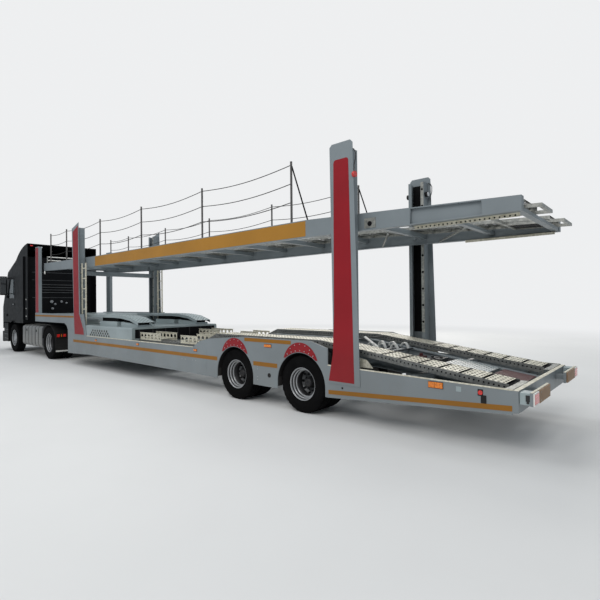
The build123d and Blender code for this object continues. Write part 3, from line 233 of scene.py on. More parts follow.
# the galvanised guard posts in dark grey: painted shade
POST_SHADED = surface("post_zinc_painted_shade", (0.085, 0.082, 0.08), 0.5, metal=0.3, vary=0.2, grain=0.1)
# dark of the hubs, which is also painted shade at the rims' steps and inside the twin wheels
HUB_AND_SHADE = surface("hub_and_step_shade", (0.03, 0.03, 0.033), 0.5, metal=0.4, vary=0.3, grain=0.3, grain_scale=50)
STEEL = surface("bright_steel", (0.42, 0.43, 0.44), 0.28, metal=0.9, vary=0.15, grain=0.1)
TRIM = surface("cab_cloth", (0.03, 0.03, 0.034), 0.85, vary=0.3, patch=9, grain=0.8, grain_scale=420)
ROPE = surface("woven_rope", (0.012, 0.011, 0.010), 0.85, vary=0.35, patch=40, grain=1.0, grain_scale=300)
BROWN = surface("primer_board", (0.27, 0.165, 0.09), 0.6, vary=0.15, grain=0.2)
WHITE = surface("white_plastic", (0.70, 0.70, 0.67), 0.4, vary=0.08, grain=0.1)
HOSE = surface("hose_black", (0.014, 0.014, 0.015), 0.55, vary=0.2, grain=0.3)
DARK = surface("deep_shadow_black", (0.006, 0.006, 0.007), 0.9, vary=0.3, mirror=0.1)
REDDISH = surface("red_oxide", (0.06, 0.008, 0.009), 0.6, vary=0.25, grain=0.2)
GLASS = glazing("tinted_glass", (0.10, 0.13, 0.14))
MIRROR = surface("mirror_glass", (0.75, 0.77, 0.78), 0.03, metal=1.0, vary=0.02)
RED_LENS = lens("red_lens", (0.62, 0.02, 0.015), 0.15)
AMBER = lens("amber_lens", (0.72, 0.19, 0.005), 0.12)
CLEAR = lens("clear_lens", (0.62, 0.64, 0.66), 0.0)

finish_of_slot = {
    "trailer_paint": PAINT, "galvanised": ZINC, "running_gear": GEAR, "lamp_plastic": RED_LENS,
    "red_paint": RED, "rope": ROPE, "chassis_paint": CHASSIS, "engine_iron": IRON,
    "tank_aluminium": ALUMINIUM, "black_plastic": PLASTIC, "black_paint": BLACK, "cab_glass": GLASS,
    "cab_trim": TRIM, "tyre": RUBBER, "rim_paint": RIM,
}
finish_of_node = {"deck_cover": PAINT_LIT, "landing_legs": GEAR, "extension_frames": ZINC,
                  "guard_posts": POST_SHADED, "ladders": CREAM}
for part in frame["record"]["subparts"]:
    name = part["node"]
    materials = nodes[name].data.materials
    materials.clear()
    materials.append(finish_of_node.get(name, finish_of_slot[part["material_slot"]]))


# Mesh helpers

def angles(count):
    return [2 * math.pi * i / count for i in range(count)]


def cuts(low, high, count):
    return [low + (high - low) * i / count for i in range(count + 1)]


def put(name, data):
    """An object with this data, in the scene."""
    made = bpy.data.objects.new(name, data)
    bpy.context.scene.collection.objects.link(made)
    return made


def soften(piece, width, segments=2):
    edge = piece.modifiers.new("edges", "BEVEL")
    edge.width = width
    edge.segments = segments
    edge.limit_method = "ANGLE"
    edge.angle_limit = math.radians(32)
    edge.harden_normals = True


class Shape:
    """A mesh in the making and its finishes, of which the first is the usual one."""

    def __init__(self, *finishes, side=1):
        self.bm = bmesh.new()
        self.finishes = finishes
        self.side = side

    def at(self, place):
        x, y, z = place
        return Vector((x, self.side * y, z))

    def ring(self, places):
        return [self.bm.verts.new(self.at(place)) for place in places]

    def paint(self, faces, finish, smooth=False):
        for face in faces:
            face.material_index = self.finishes.index(finish) if finish else 0
            face.smooth = smooth

    def face(self, points, finish=None):
        self.paint([self.bm.faces.new(self.ring(points))], finish)

    def band(self, low, high, finish=None, smooth=False):
        """Quads between two closed rings with the same number of points."""
        pairs = zip(low, low[1:] + low[:1], high[1:] + high[:1], high)
        self.paint([self.bm.faces.new(corners) for corners in pairs], finish, smooth)

    def close(self, low, high, finish, smooth=False):
        self.paint([self.bm.faces.new(low), self.bm.faces.new(high[::-1])], finish)
        self.band(low, high, finish, smooth)

    def prism(self, outline, y_a, y_b, finish=None):
        """A side-view outline in X and Z, between two values of Y."""
        self.close(*(self.ring([(x, y, z) for x, z in outline]) for y in (y_a, y_b)), finish)

    def box(self, x_a, x_b, y_a, y_b, z_a, z_b, finish=None):
        self.prism(((x_a, z_a), (x_b, z_a), (x_b, z_b), (x_a, z_b)), y_a, y_b, finish)

    def rod(self, start, end, radius, finish=None, sides=12, end_radius=None):
        """A round bar or cone between two points."""
        start, end = self.at(start), self.at(end)
        turn = (end - start).to_track_quat("Z", "Y")
        rings = []
        for centre, r in ((start, radius), (end, end_radius or radius)):
            rings.append([self.bm.verts.new(centre + turn @ Vector((r * math.cos(a), r * math.sin(a), 0)))
                          for a in angles(sides)])
        self.close(*rings, finish, sides > 8)

    def stud(self, x, y, z, height, radius, finish=None, sides=12):
        """A short round bar along Y, on a face."""
        self.rod((x, y, z), (x, y + height, z), radius, finish, sides)

    def lathe(self, profile, centre, sides, finish=None, axis="Y"):
        """A profile of (distance along the axis, radius) turned about it."""
        cx, cy, cz = centre
        rings = []
        for along, radius in profile:
            circle = [(radius * math.cos(a), radius * math.sin(a)) for a in angles(sides)]
            if axis == "Y":
                rings.append(self.ring([(cx + u, cy + along, cz + v) for u, v in circle]))
            else:
                rings.append(self.ring([(cx + along, cy + u, cz + v) for u, v in circle]))
        for low, high in zip(rings, rings[1:]):
            self.band(low, high, finish, True)

    def made(self, name, body, bevel=0.0, thick=0.0, punched=False):
        """The piece; in a punched sheet the walls of the holes take the last finish."""
        if punched:
            bmesh.ops.remove_doubles(self.bm, verts=self.bm.verts, dist=0.0004)
        bmesh.ops.recalc_face_normals(self.bm, faces=self.bm.faces)
        mesh = bpy.data.meshes.new(name)
        self.bm.to_mesh(mesh)
        self.bm.free()
        mesh.transform(Matrix.Translation((-MIDDLE, 0, 0)))
        for finish in self.finishes:
            mesh.materials.append(finish)
        piece = put(name, mesh)
        if thick:
            solid = piece.modifiers.new("thickness", "SOLIDIFY")
            solid.thickness = thick
            solid.offset = 0
            solid.material_offset_rim = len(self.finishes) if punched else 0
        if bevel:
            soften(piece, bevel)
        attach(piece, body)
        return piece


def both(call):
    """Call it for the left side and the right side."""
    for side, name in SIDES:
        call(side, name)


def height_on(line, x):
    for (x_high, z_high), (x_low, z_low) in zip(line, line[1:]):
        if x >= x_low:
            return z_low + (z_high - z_low) * (x - x_low) / (x_high - x_low)
    return line[-1][1]


def square_ring(u_a, u_b, v_a, v_b):
    u_m, v_m = (u_a + u_b) / 2, (v_a + v_b) / 2
    return ((u_a, v_a), (u_m, v_a), (u_b, v_a), (u_b, v_m), (u_b, v_b), (u_m, v_b), (u_a, v_b), (u_a, v_m))


def round_ring(u, v, radius_u, radius_v):
    """As many points as a square ring has, from the same corner on."""
    turns = [math.radians(-135 + 45 * i) for i in range(8)]
    return [(u + radius_u * math.cos(a), v + radius_v * math.sin(a)) for a in turns]


def perforated(shape, u_cuts, v_cuts, place, radius, finish=None, staggered=False):
    """A sheet of cells with round holes; place turns (u, v) into a point."""
    for row, (u_a, u_b) in enumerate(zip(u_cuts, u_cuts[1:])):
        for column, (v_a, v_b) in enumerate(zip(v_cuts, v_cuts[1:])):
            outline = [place(u, v) for u, v in square_ring(u_a, u_b, v_a, v_b)]
            if staggered and (row + column) % 2:
                shape.face(outline, finish)
                continue
            hole = [place(u, v) for u, v in round_ring((u_a + u_b) / 2, (v_a + v_b) / 2, *radius)]
            shape.band(shape.ring(outline), shape.ring(hole), finish)


def spots(shape, start, end, count, radius, out, finish):
    """Round holes in a row, drawn as dark discs of painted shade, on a face that looks along Y, or -Y where
    out is -1.
    """
    for i in range(count):
        x, y, z = Vector(start).lerp(Vector(end), i / (count - 1))
        shape.stud(x, y, z, 0.0012 * out, radius, finish, 10)


def shade_tray(shape, line, x_low, x_high, y_a, y_b, drop, finish):
    """A dark tray of painted shade that follows a track's line under its sheet, so that its holes look dark.
    """
    xs = [x_low] + sorted(x for x, z in line if x_low < x < x_high) + [x_high]
    for x_a, x_b in zip(xs, xs[1:]):
        z_a, z_b = height_on(line, x_a) - drop, height_on(line, x_b) - drop
        shape.prism(((x_a, z_a), (x_b, z_b), (x_b, z_b - 0.004), (x_a, z_a - 0.004)), y_a, y_b, finish)


def side_rails(shape, line, y_in, y_out, depth, sheet, finish=None):
    """The two upright sides of a track that is folded from sheet."""
    for y_a, y_b in ((y_in, y_in + sheet), (y_out - sheet, y_out)):
        for (x_b, z_b), (x_a, z_a) in zip(line, line[1:]):
            shape.prism(((x_a, z_a - depth), (x_b, z_b - depth), (x_b, z_b), (x_a, z_a)), y_a, y_b, finish)


# Camera, light and floor

camera_data = bpy.data.cameras.new("camera")
camera_data.lens = 26.0
camera_data.sensor_width = 36.0
camera_data.clip_end = 300.0
camera = put("camera", camera_data)
bpy.context.scene.camera = camera
CAMERA_PLACE = (-3.619 - MIDDLE, 6.288, 1.714)
YAW, PITCH, ROLL = 0.8497, 0.0063, -0.0092
ahead = Vector((math.cos(YAW) * math.cos(PITCH), -math.sin(YAW) * math.cos(PITCH), math.sin(PITCH)))
across = ahead.cross(Vector((0, 0, 1))).normalized()
above = across.cross(ahead)
right = math.cos(ROLL) * across + math.sin(ROLL) * above
upward = right.cross(ahead)
turned = Matrix((right, upward, -ahead)).transposed().to_4x4()
turned.translation = CAMERA_PLACE
camera.matrix_world = turned

world = bpy.data.worlds.new("studio")
bpy.context.scene.world = world
world.use_nodes = True
tree = world.node_tree
sky = settle(tree.nodes["Background"], Color=(0.86, 0.93, 1.0, 1), Strength=0.50)
backdrop = add(tree, "Background", Color=BACKDROP, Strength=BACKDROP_POWER)
mixed_surface(tree, "World Output", add(tree, "LightPath").outputs["Is Camera Ray"],
              sky.outputs["Background"], backdrop.outputs["Background"])


def lamp(name, place, target, size, power, colour):
    data = bpy.data.lights.new(name, "AREA")
    data.shape = "RECTANGLE"
    data.size, data.size_y = size
    data.energy = power
    data.color = colour
    made = put(name, data)
    made.location = place
    made.rotation_euler = (Vector(target) - Vector(place)).to_track_quat("-Z", "Y").to_euler()


lamp("key", (-10, 16, 15), (0, 0, 1.2), (14, 10), 1900, (1.0, 0.97, 0.94))
lamp("top", (2, 0, 17), (1, 0, 0), (20, 8), 1700, (1.0, 1.0, 1.0))
lamp("far", (4, -17, 10), (0, 0, 1.5), (16, 8), 1700, (1.0, 0.95, 0.88))

floor_finish = surface("floor", (0.66, 0.665, 0.66), 0.8, vary=0.03, patch=0.4, grain=0.05, mirror=0.0)
# far away the floor runs into the backdrop, for the camera alone
tree = floor_finish.node_tree
distance = add(tree, "VectorMath", Vector=add(tree, "NewGeometry").outputs["Position"])
distance.operation = "LENGTH"
fade = add(tree, "MapRange", Value=distance.outputs["Value"], From_Min=7.0, From_Max=27.0)
fade.interpolation_type = "SMOOTHERSTEP"
share = product(tree, fade.outputs["Result"], add(tree, "LightPath").outputs["Is Camera Ray"])
glow = add(tree, "Emission", Color=BACKDROP, Strength=BACKDROP_POWER)
mixed_surface(tree, "Material Output", share, tree.nodes["Principled BSDF"].outputs["BSDF"],
              glow.outputs["Emission"])

floor_mesh = bpy.data.meshes.new("floor")
floor_mesh.from_pydata(((-80, -80, 0), (90, -80, 0), (90, 80, 0), (-80, 80, 0)), (), ((0, 1, 2, 3),))
floor_mesh.materials.append(floor_finish)
floor = put("floor", floor_mesh)
bpy.context.scene.view_settings.view_transform = "Standard"


# Tyres

def tyre_profile(radius, width, seat, lug):
    """Half the section from the bead over the sidewall to the middle of the tread."""
    wall = radius - seat
    side = [
        (0.36, seat), (0.43, seat + 0.012), (0.455, seat + 0.05 * wall), (0.468, seat + 0.09 * wall),
        (0.462, seat + 0.12 * wall), (0.485, seat + 0.30 * wall), (0.497, seat + 0.48 * wall),
        (0.494, seat + 0.62 * wall), (0.486, seat + 0.66 * wall), (0.484, seat + 0.74 * wall),
        (0.468, seat + 0.86 * wall), (0.446, radius - 0.016 - lug), (0.425, radius - 0.006 - lug),
    ]
    groove_floor = radius - 0.013
    tread = []
    for groove in (0.33, 0.115):
        for off, r in ((0.009, radius), (0.006, groove_floor), (-0.006, groove_floor), (-0.009, radius)):
            tread.append((groove * width + off, r))
    return [(share * width, r) for share, r in side] + tread + [(0.0, radius)]


def tyre(shape, centre, radius, width, seat):
    """Every third step of the 96 is a cut between the lugs of the shoulder."""
    cx, cy, cz = centre
    plain, cut = (tyre_profile(radius, width, seat, lug) for lug in (0.0, 0.009))
    half = [(y, r, c) for (y, r), (_, c) in zip(plain, cut)]
    rings = []
    for y, r, c in half + [(-y, r, c) for y, r, c in half[-2::-1]]:
        steps = [(a, c if i % 3 == 0 else r) for i, a in enumerate(angles(96))]
        rings.append(shape.ring([(cx + at * math.cos(a), cy + y, cz + at * math.sin(a)) for a, at in steps]))
    for low, high in zip(rings, rings[1:]):
        shape.band(low, high, None, True)


# Rims: a barrel with stepped lips, a dished disc with hand holes, nuts and a hub

def barrel(shape, centre, out, depth, flange, seat):
    """The barrel from its outer lip inwards, with dark bands of painted shade at its steps and deep inside,
    between its bright lip and steps.
    """
    profile = (
        (-0.010, flange - 0.016), (0.000, flange - 0.010), (0.003, flange - 0.003), (-0.002, flange),
        (-0.012, flange - 0.001), (-0.016, seat - 0.006), (-0.036, seat - 0.009), (-0.039, seat - 0.026),
        (-0.058, seat - 0.030), (-0.062, seat - 0.022), (-0.084, seat - 0.026), (-0.088, seat - 0.042),
        (-0.107, seat - 0.046), (-0.112, seat - 0.036), (-depth * 0.8, seat - 0.038), (-depth, seat - 0.040),
    )
    rows = [(out * y, r) for y, r in profile]
    for first, last, finish in (
            (0, 5, RIM), (5, 6, HUB_AND_SHADE), (6, 9, RIM), (9, 10, HUB_AND_SHADE), (10, 13, RIM), (13, 15, HUB_AND_SHADE)):
        shape.lathe(rows[first:last + 1], centre, 72, finish)


def disc(shape, centre, out, rim_radius, bolt_radius, bore, dish, hole_size, nut, finish, steel):
    """A dished disc from the barrel to the hub face; dish is how far its face stands outwards."""
    cx, cy, cz = centre
    count = 10
    inside = bolt_radius + 0.03
    hole_radius = (rim_radius + inside) / 2
    ring_out, ring_in = hole_radius + 0.03, hole_radius - 0.03

    def y_at(r):
        share = min(1.0, max(0.0, (rim_radius - r) / (rim_radius - inside)))
        return cy + out * dish * (3 * share ** 2 - 2 * share ** 3)

    def point(a, r):
        return (cx + r * math.cos(a), y_at(r), cz + r * math.sin(a))

    def band(*radii):
        shape.lathe([(y_at(r) - cy, r) for r in radii], centre, 72, finish)

    band(rim_radius, (rim_radius + ring_out) / 2, ring_out)
    for a_mid in angles(count):
        a_low, a_high = a_mid - math.pi / count, a_mid + math.pi / count
        outline = [point(*place) for place in (
            (a_low, ring_in), (a_low, hole_radius), (a_low, ring_out), (a_mid, ring_out),
            (a_high, ring_out), (a_high, hole_radius), (a_high, ring_in), (a_mid, ring_in))]
        hole = []
        for degrees in range(-135, -495, -45):
            turn = math.radians(degrees)
            hole.append(point(a_mid + hole_size * 1.25 * math.cos(turn) / hole_radius,
                              hole_radius + hole_size * math.sin(turn)))
        shape.band(shape.ring(outline), shape.ring(hole), finish)
    band(ring_in, inside, bolt_radius, bolt_radius - 0.03, bore + 0.012, bore)
    face_y = cy + out * dish
    for i in range(count):
        a = 2 * math.pi * (i + 0.5) / count
        x, z = cx + bolt_radius * math.cos(a), cz + bolt_radius * math.sin(a)
        shape.stud(x, face_y, z, out * 0.022, nut, steel, 6)
        shape.stud(x, face_y + out * 0.02, z, out * 0.016, nut * 0.55, steel, 8)


LIP = 0.116
twin_hub = ((-0.02, 0.094), (0.020, 0.094), (0.075, 0.088), (0.082, 0.074), (0.140, 0.070), (0.150, 0.058),
            (0.152, 0.030), (0.152, 0.0001))
steer_hub = ((0.03, 0.122), (0.088, 0.121), (0.100, 0.112), (0.103, 0.085), (0.108, 0.080), (0.111, 0.0001))
# radius, width, bead seat and flange of a tyre
TRAILER_TYRE = (0.448, 0.272, 0.247, 0.258)
TRACTOR_TYRE = (0.515, 0.286, 0.286, 0.299)
for group, x, z, (radius, width, seat, flange), centres in (
        ("trailer_rear", REAR_AXLE, TRAILER_WHEEL_Z, TRAILER_TYRE, (1.08, 0.77)),
        ("trailer_front", FRONT_AXLE, TRAILER_WHEEL_Z, TRAILER_TYRE, (1.08, 0.77)),
        ("drive", DRIVE_AXLE, TRACTOR_WHEEL_Z, TRACTOR_TYRE, (1.085, 0.759)),
        ("steer", STEER_AXLE, TRACTOR_WHEEL_Z, TRACTOR_TYRE, (1.085,))):
    for side, side_name in SIDES:
        body = f"{group}_wheel_{side_name}"
        rubber = Shape(RUBBER, side=side)
        for y in centres:
            tyre(rubber, (x, y, z), radius, width, seat)
        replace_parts(rubber.made(f"{group}_tyre_tread_{side_name}", body), f"{group}_tyre_{side_name}")
        wheel = Shape(RIM, STEEL, HUB_AND_SHADE, GREY_SHADE_AND_SHEEN, side=side)
        twin = len(centres) == 2
        depth = LIP + (centres[0] - centres[-1]) / 2 if twin else 2 * LIP - 0.006
        for y, out in zip(centres, (1, -1)):
            barrel(wheel, (x, y + out * LIP, z), out, depth, flange, seat)
        if twin:
            face = (centres[0] + centres[1]) / 2
            # the twin wheels' discs and nuts in dark grey: painted shade over their silver, deep in the wheel
            for out in (1, -1):
                disc(wheel, (x, face + out * 0.045, z), out, seat - 0.038, seat * 0.56, 0.088, -0.030,
                     0.019, 0.0125, GREY_SHADE_AND_SHEEN, HUB_AND_SHADE)
            wheel.lathe(twin_hub, (x, face, z), 40, HUB_AND_SHADE)
        else:
            disc(wheel, (x, centres[0] + 0.03, z), 1, seat - 0.033, 0.1675, 0.118, 0.050,
                 0.024, 0.0135, RIM, STEEL)
            wheel.lathe(steer_hub, (x, centres[0], z), 40, RIM)
        piece = wheel.made(f"{group}_wheel_disc_{side_name}", body, thick=0.006)
        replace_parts(piece, f"{group}_rim_{side_name}")


# Red panels and yellow stripes, thin films on the painted steel

def film(shape, outline, y_face, finish=None):
    shape.prism(outline, y_face, y_face + 0.0022, finish)


def side_films(side, name):
    films = Shape(RED, STRIPE, side=side)
    film(films, ((-0.19, 0.575), (0.255, 0.575), (0.178, 0.96), (0.15, 1.54), (0.135, 3.72), (0.124, 3.75),
                 (0.10, 3.762), (-0.09, 3.762), (-0.114, 3.75), (-0.125, 3.72)), PLATE_OUT)
    film(films, ((8.745, 0.885), (9.355, 0.885), (9.40, 1.45), (9.455, 3.80), (9.10, 3.94),
                 (9.05, 1.46), (8.76, 1.02)), PLATE_OUT)
    for (x_a, z_a), (x_b, z_b), high in (
            ((9.47, 0.655), (2.875, 0.655), 0.07), ((1.885, 0.655), (1.315, 0.655), 0.07),
            ((2.11, 1.055), (1.01, 1.055), 0.06), ((0.27, 0.375), (-2.235, 0.515), 0.06),
            ((12.59, 1.345), (9.45, 1.345), 0.05)):
        film(films, ((x_a, z_a), (x_a, z_a + high), (x_b, z_b + high), (x_b, z_b)), HALF_WIDTH, STRIPE)
    film(films, ((12.33, 1.47), (12.58, 1.47), (12.58, 3.62), (12.33, 3.62)), SKIN_IN)
    films.made(f"side_films_{name}", "trailer")
    web = Shape(YELLOW, side=side)
    low, high, edge = 0.86, 8.5, 0.016
    film(web, ((low, height_on(UPPER_LOW, low) + edge), (high, height_on(UPPER_LOW, high) + edge),
               (high, height_on(UPPER_TOP, high) - edge), (low, height_on(UPPER_TOP, low) - edge)), UPPER_OUT)
    web.made(f"web_film_{name}", "upper_deck")


both(side_films)


# Ropes of the guard rail

def rope_route(x_a, x_b, z, side):
    """Control points of one sagging span between two posts."""
    span = x_b - x_a
    return [(x_a + span * share - MIDDLE, side * GUARD_Y, z - ROPE_SAG * span * 4 * share * (1 - share))
            for share in (0.0, 0.08, 0.3, 0.5, 0.7, 0.92, 1.0)]


def rope_curve(name, route):
    curve = bpy.data.curves.new(name, "CURVE")
    curve.dimensions = "3D"
    curve.bevel_depth = 0.007
    curve.bevel_resolution = 3
    curve.use_fill_caps = True
    spline = curve.splines.new("NURBS")
    spline.points.add(len(route) - 1)
    for point, place in zip(spline.points, route):
        point.co = (*place, 1)
    spline.order_u = 3
    spline.use_endpoint_u = True
    spline.resolution_u = 6
    curve.materials.append(ROPE)
    return curve


ropes = []
for side, side_name in SIDES:
    for number, (x_a, x_b) in enumerate(zip(GUARD_POSTS, GUARD_POSTS[1:])):
        for level, z in enumerate(ROPE_LEVELS):
            route = rope_route(x_a + 0.02, x_b - 0.02, z, side)
            name = f"rope_{side_name}_{number}_{level}"
            rope = put(name, rope_curve(name, route))
            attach(rope, "upper_deck")
            ropes.append(rope)
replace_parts(ropes[0], "guard_ropes")


# Wheel tracks of the lower deck

def on_line(line, drop=0.003):
    return lambda u, v: (u, v, height_on(line, u) - drop)


def low_frames(frames, solid):
    """Ladders of channel with large round holes, which stand on the low part of the tracks."""
    sides = (TRACK_IN + 0.02, TRACK_OUT - 0.02)
    for x_a, x_b, holes in ((3.80, 4.38, 4), (5.16, 6.06, 6)):
        for y in sides:
            perforated(frames, cuts(x_a, x_b, holes), (0.882, 1.042), lambda u, v, y=y: (u, y, v),
                       (0.05, 0.052))
            for z_a, z_b in ((1.040, 1.048), (0.8805, 0.886)):
                solid.box(x_a, x_b, y - 0.014, y + 0.014, z_a, z_b)
        for x in cuts(x_a + 0.03, x_b - 0.03, holes // 2):
            solid.rod((x, sides[0], 0.93), (x, sides[1], 0.93), 0.018)


def hump_boxes(solid):
    """Flat boxes that carry the tracks over the hump: a pale low box, and a narrower dark box of painted
    shade up to the track that makes them look hollow.
    """
    for x_low, x_high in ((6.21, 7.07), (7.28, 8.27)):
        bends = [x for x, z in reversed(HUMP_TRACK) if x_low < x < x_high]
        for inset, share, finish in ((0.0, 0.42, PALE), (0.05, 1.0, DARK)):
            ends = (x_low + inset, x_high - inset)
            top = [(x, HUMP_FOOT + (height_on(HUMP_TRACK, x) - 0.010 - HUMP_FOOT) * share)
                   for x in (ends[0], *bends, ends[1])]
            solid.prism([(ends[0], HUMP_FOOT), *top, (ends[1], HUMP_FOOT)],
                        TRACK_IN + 0.042 + inset, TRACK_OUT - 0.042 - inset, finish)


def lower_tracks(side, name):
    inner = (TRACK_IN + TRACK_LIP, TRACK_OUT - TRACK_LIP)
    # the walls of this sheet's holes take the dark finish: painted shade
    sheet = Shape(CREAM, RAIL, PALE, DARK, side=side)
    # grid over the wheels and down to the separate plates
    for x_a, x_b, count in ((-0.48, 0.56, 15), (0.56, 3.13, 37)):
        perforated(sheet, cuts(x_a, x_b, count), cuts(*inner, 6), on_line(LOWER_TRACK), (0.015, 0.019))
    # coarse grid of the low part, dimpled and plain sheets over the hump
    perforated(sheet, cuts(3.78, 6.09, 19), cuts(*inner, 4), on_line(LOWER_TRACK), (0.042, 0.038), RAIL)
    for x_a, x_b, count in ((6.15, 6.55, 8), (6.55, 7.0, 9), (7.0, 7.4, 8)):
        perforated(sheet, cuts(x_a, x_b, count), cuts(*inner, 9), on_line(HUMP_TRACK), (0.012, 0.014), PALE,
                   staggered=True)
    corners = ((7.4, inner[0]), (9.3, inner[0]), (9.3, inner[1]), (7.4, inner[1]))
    sheet.face([on_line(HUMP_TRACK)(x, y) for x, y in corners], PALE)
    solid = Shape(CREAM, RAIL, PALE, DARK, PAINT_LIT, side=side)
    frames = Shape(CREAM, side=side)
    low_frames(frames, solid)
    frames.made(f"track_frames_{name}", "trailer", thick=0.005, punched=True)
    sheet.made(f"track_sheets_{name}", "trailer", thick=0.004, punched=True)

    # the walls of the plates' holes take the dark finish: painted shade
    plates = Shape(CREAM, DARK, side=side)
    columns = cuts(TRACK_IN + 0.004, TRACK_OUT - 0.004, 5)
    for number in range(6):
        x_high = -0.52 - PLATE_PITCH * number
        perforated(plates, cuts(x_high - PLATE_LENGTH, x_high, 4), columns, on_line(LOWER_TRACK, 0.004),
                   (0.014, 0.022))
    plates.made(f"ramp_plates_{name}", "trailer", thick=0.007, punched=True)

    side_rails(solid, LOWER_TRACK, TRACK_IN, TRACK_OUT, 0.09, 0.007, RAIL)
    side_rails(solid, HUMP_TRACK, TRACK_IN, TRACK_OUT, 0.07, 0.006, PAINT_LIT)
    # dark trays of painted shade under the sheets
    for x_a, x_b in ((-2.15, 3.13), (3.78, 6.08)):
        shade_tray(solid, LOWER_TRACK, x_a, x_b, *inner, 0.03, DARK)
    shade_tray(solid, HUMP_TRACK, 6.16, 7.4, *inner, 0.02, DARK)
    hump_boxes(solid)
    # bars of the ramp up to the wheels
    for y in cuts(inner[0] + 0.03, inner[1] - 0.03, 4):
        solid.prism(((3.80, 0.855), (3.80, 0.885), (3.12, 1.137), (3.12, 1.107)), y - 0.022, y + 0.022)
    # dark cross bars between the separate plates: painted shade in the gaps
    for number in range(7):
        x = -0.50 - PLATE_PITCH * number
        z = height_on(LOWER_TRACK, x) - 0.018
        solid.box(x - 0.021, x + 0.021, *inner, z - 0.03, z, DARK)
    # small holes along both sides, drawn as dark spots of painted shade
    for y, out in ((TRACK_OUT, 1), (TRACK_IN, -1)):
        for x_a, x_b in ((-2.10, 0.5), (0.62, 3.05)):
            start, end = ((x, y, height_on(LOWER_TRACK, x) - 0.04) for x in (x_a, x_b))
            spots(solid, start, end, int((x_b - x_a) / 0.055), 0.011, out, DARK)
    rails = solid.made(f"track_rails_{name}", "trailer")
    if side == 1:
        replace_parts(rails, "lower_tracks")


both(lower_tracks)


# Wheel tracks of the upper deck, perforated, and what is fixed to its beams

def upper_tracks(side, name):
    line = UPPER_TRACK
    # the walls of this sheet's holes take the dark finish: painted shade
    sheet = Shape(ZINC, DARK, side=side)
    for (x_high, _), (x_low, _) in zip(line, line[1:]):
        count = max(4, round((x_high - x_low) / 0.125))
        perforated(sheet, cuts(x_low, x_high, count), cuts(UPPER_TRACK_IN + 0.01, UPPER_TRACK_OUT - 0.01, 5),
                   on_line(line), (0.042, 0.036))
    sheet.made(f"upper_sheets_{name}", "upper_deck", thick=0.005, punched=True)
    rail = Shape(ZINC, CREAM, DARK, side=side)
    side_rails(rail, line, UPPER_TRACK_IN, UPPER_TRACK_OUT, 0.05, 0.006)
    for x in cuts(-2.2, 12.2, 48):
        z = height_on(line, x) - 0.0055
        rail.box(x - 0.015, x + 0.015, UPPER_TRACK_IN + 0.006, UPPER_TRACK_OUT - 0.006, z - 0.035, z)
    # holed strip along the lower edge of the tail, its holes drawn as dark spots of painted shade
    (x_a, z_a), (x_b, z_b) = (-0.95, 2.724), (-2.25, 2.7205)
    for y_a, y_b, drop in ((0.905, 0.950, 0.005), (0.905, 0.910, 0.042)):
        rail.prism(((x_a, z_a), (x_b, z_b), (x_b, z_b - drop), (x_a, z_a - drop)), y_a, y_b, CREAM)
    spots(rail, (-1.0, 0.910, 2.702), (-2.2, 0.910, 2.699), 22, 0.011, 1, DARK)
    # end brace of the guard rail
    rail.rod((1.185, GUARD_Y, 3.97), (0.85, GUARD_Y, 3.027), 0.012, DARK)
    # bracket with its roller on the beam's outer face
    rail.box(-0.43, -0.25, UPPER_OUT, UPPER_OUT + 0.010, 2.76, 2.90)
    rail.stud(-0.34, UPPER_OUT, 2.82, 0.020, 0.034, DARK, 20)
    for x, z in ((-0.41, 2.88), (-0.27, 2.88), (-0.41, 2.78), (-0.27, 2.78)):
        rail.stud(x, UPPER_OUT, z, 0.016, 0.010, ZINC, 6)
    # diagonal braces under the tail
    for x_a, x_b in ((0.63, 0.18), (-0.49, -1.16)):
        rail.rod((x_a, 0.95, height_on(UPPER_LOW, x_a) + 0.02), (x_b, 0.36, height_on(line, x_b) - 0.08),
                 0.016)
    piece = rail.made(f"upper_track_rails_{name}", "upper_deck")
    if side == 1:
        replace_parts(piece, "upper_tracks")


both(upper_tracks)


# the ends of the upper deck
front = Shape(WHITE, ZINC)
for z in (3.215, 3.33):
    front.rod((12.36, -0.95, z), (12.36, 0.95, z), 0.016)
for y in (-0.95, 0.95):
    front.box(12.34, 12.38, y - 0.012, y + 0.012, 3.108, 3.35, ZINC)
front.made("front_stop_bars", "upper_deck", bevel=0.002)
rear = Shape(GEAR)
for rear.side in (1, -1):
    perforated(rear, cuts(-2.26, -1.75, 8), cuts(0.385, 0.845, 7),
               lambda u, v: (u, v, 2.850 - 0.04286 * (-0.9 - u)), (0.022, 0.022))
rear.made("extension_sheets", "deck_extension", thick=0.004, punched=True)


# The same forms as the solids, with worked edges

def worked(node, body, width, finish, segments=2):
    """A copy of a node's form with rounded edges stands for the node."""
    mesh = nodes[node].data.copy()
    mesh.name = f"{node}_formed"
    shape = bmesh.new()
    shape.from_mesh(mesh)
    bmesh.ops.remove_doubles(shape, verts=shape.verts, dist=0.0002)
    bmesh.ops.dissolve_limit(shape, angle_limit=math.radians(1.0), verts=shape.verts, edges=shape.edges)
    shape.to_mesh(mesh)
    shape.free()
    mesh.materials.clear()
    mesh.materials.append(finish)
    piece = put(mesh.name, mesh)
    soften(piece, width, segments)
    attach(piece, body)
    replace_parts(piece, node)


worked("cab_shell", "cab", 0.028, BLACK, 3)
worked("door_left", "door_left", 0.010, BLACK)
worked("door_right", "door_right", 0.010, BLACK)
worked("roof_deflector", "cab", 0.016, BLACK)
worked("front_bumper", "tractor", 0.030, BLACK, 3)
# the tank's body in dark grey: painted shade in the grooves between its aluminium ribs
worked("side_tanks", "tractor", 0.006, GREY_SHADE_AND_SHEEN)
worked("gooseneck_posts", "trailer", 0.006, PAINT)


# Bolts, the bright edges and small things along the sides

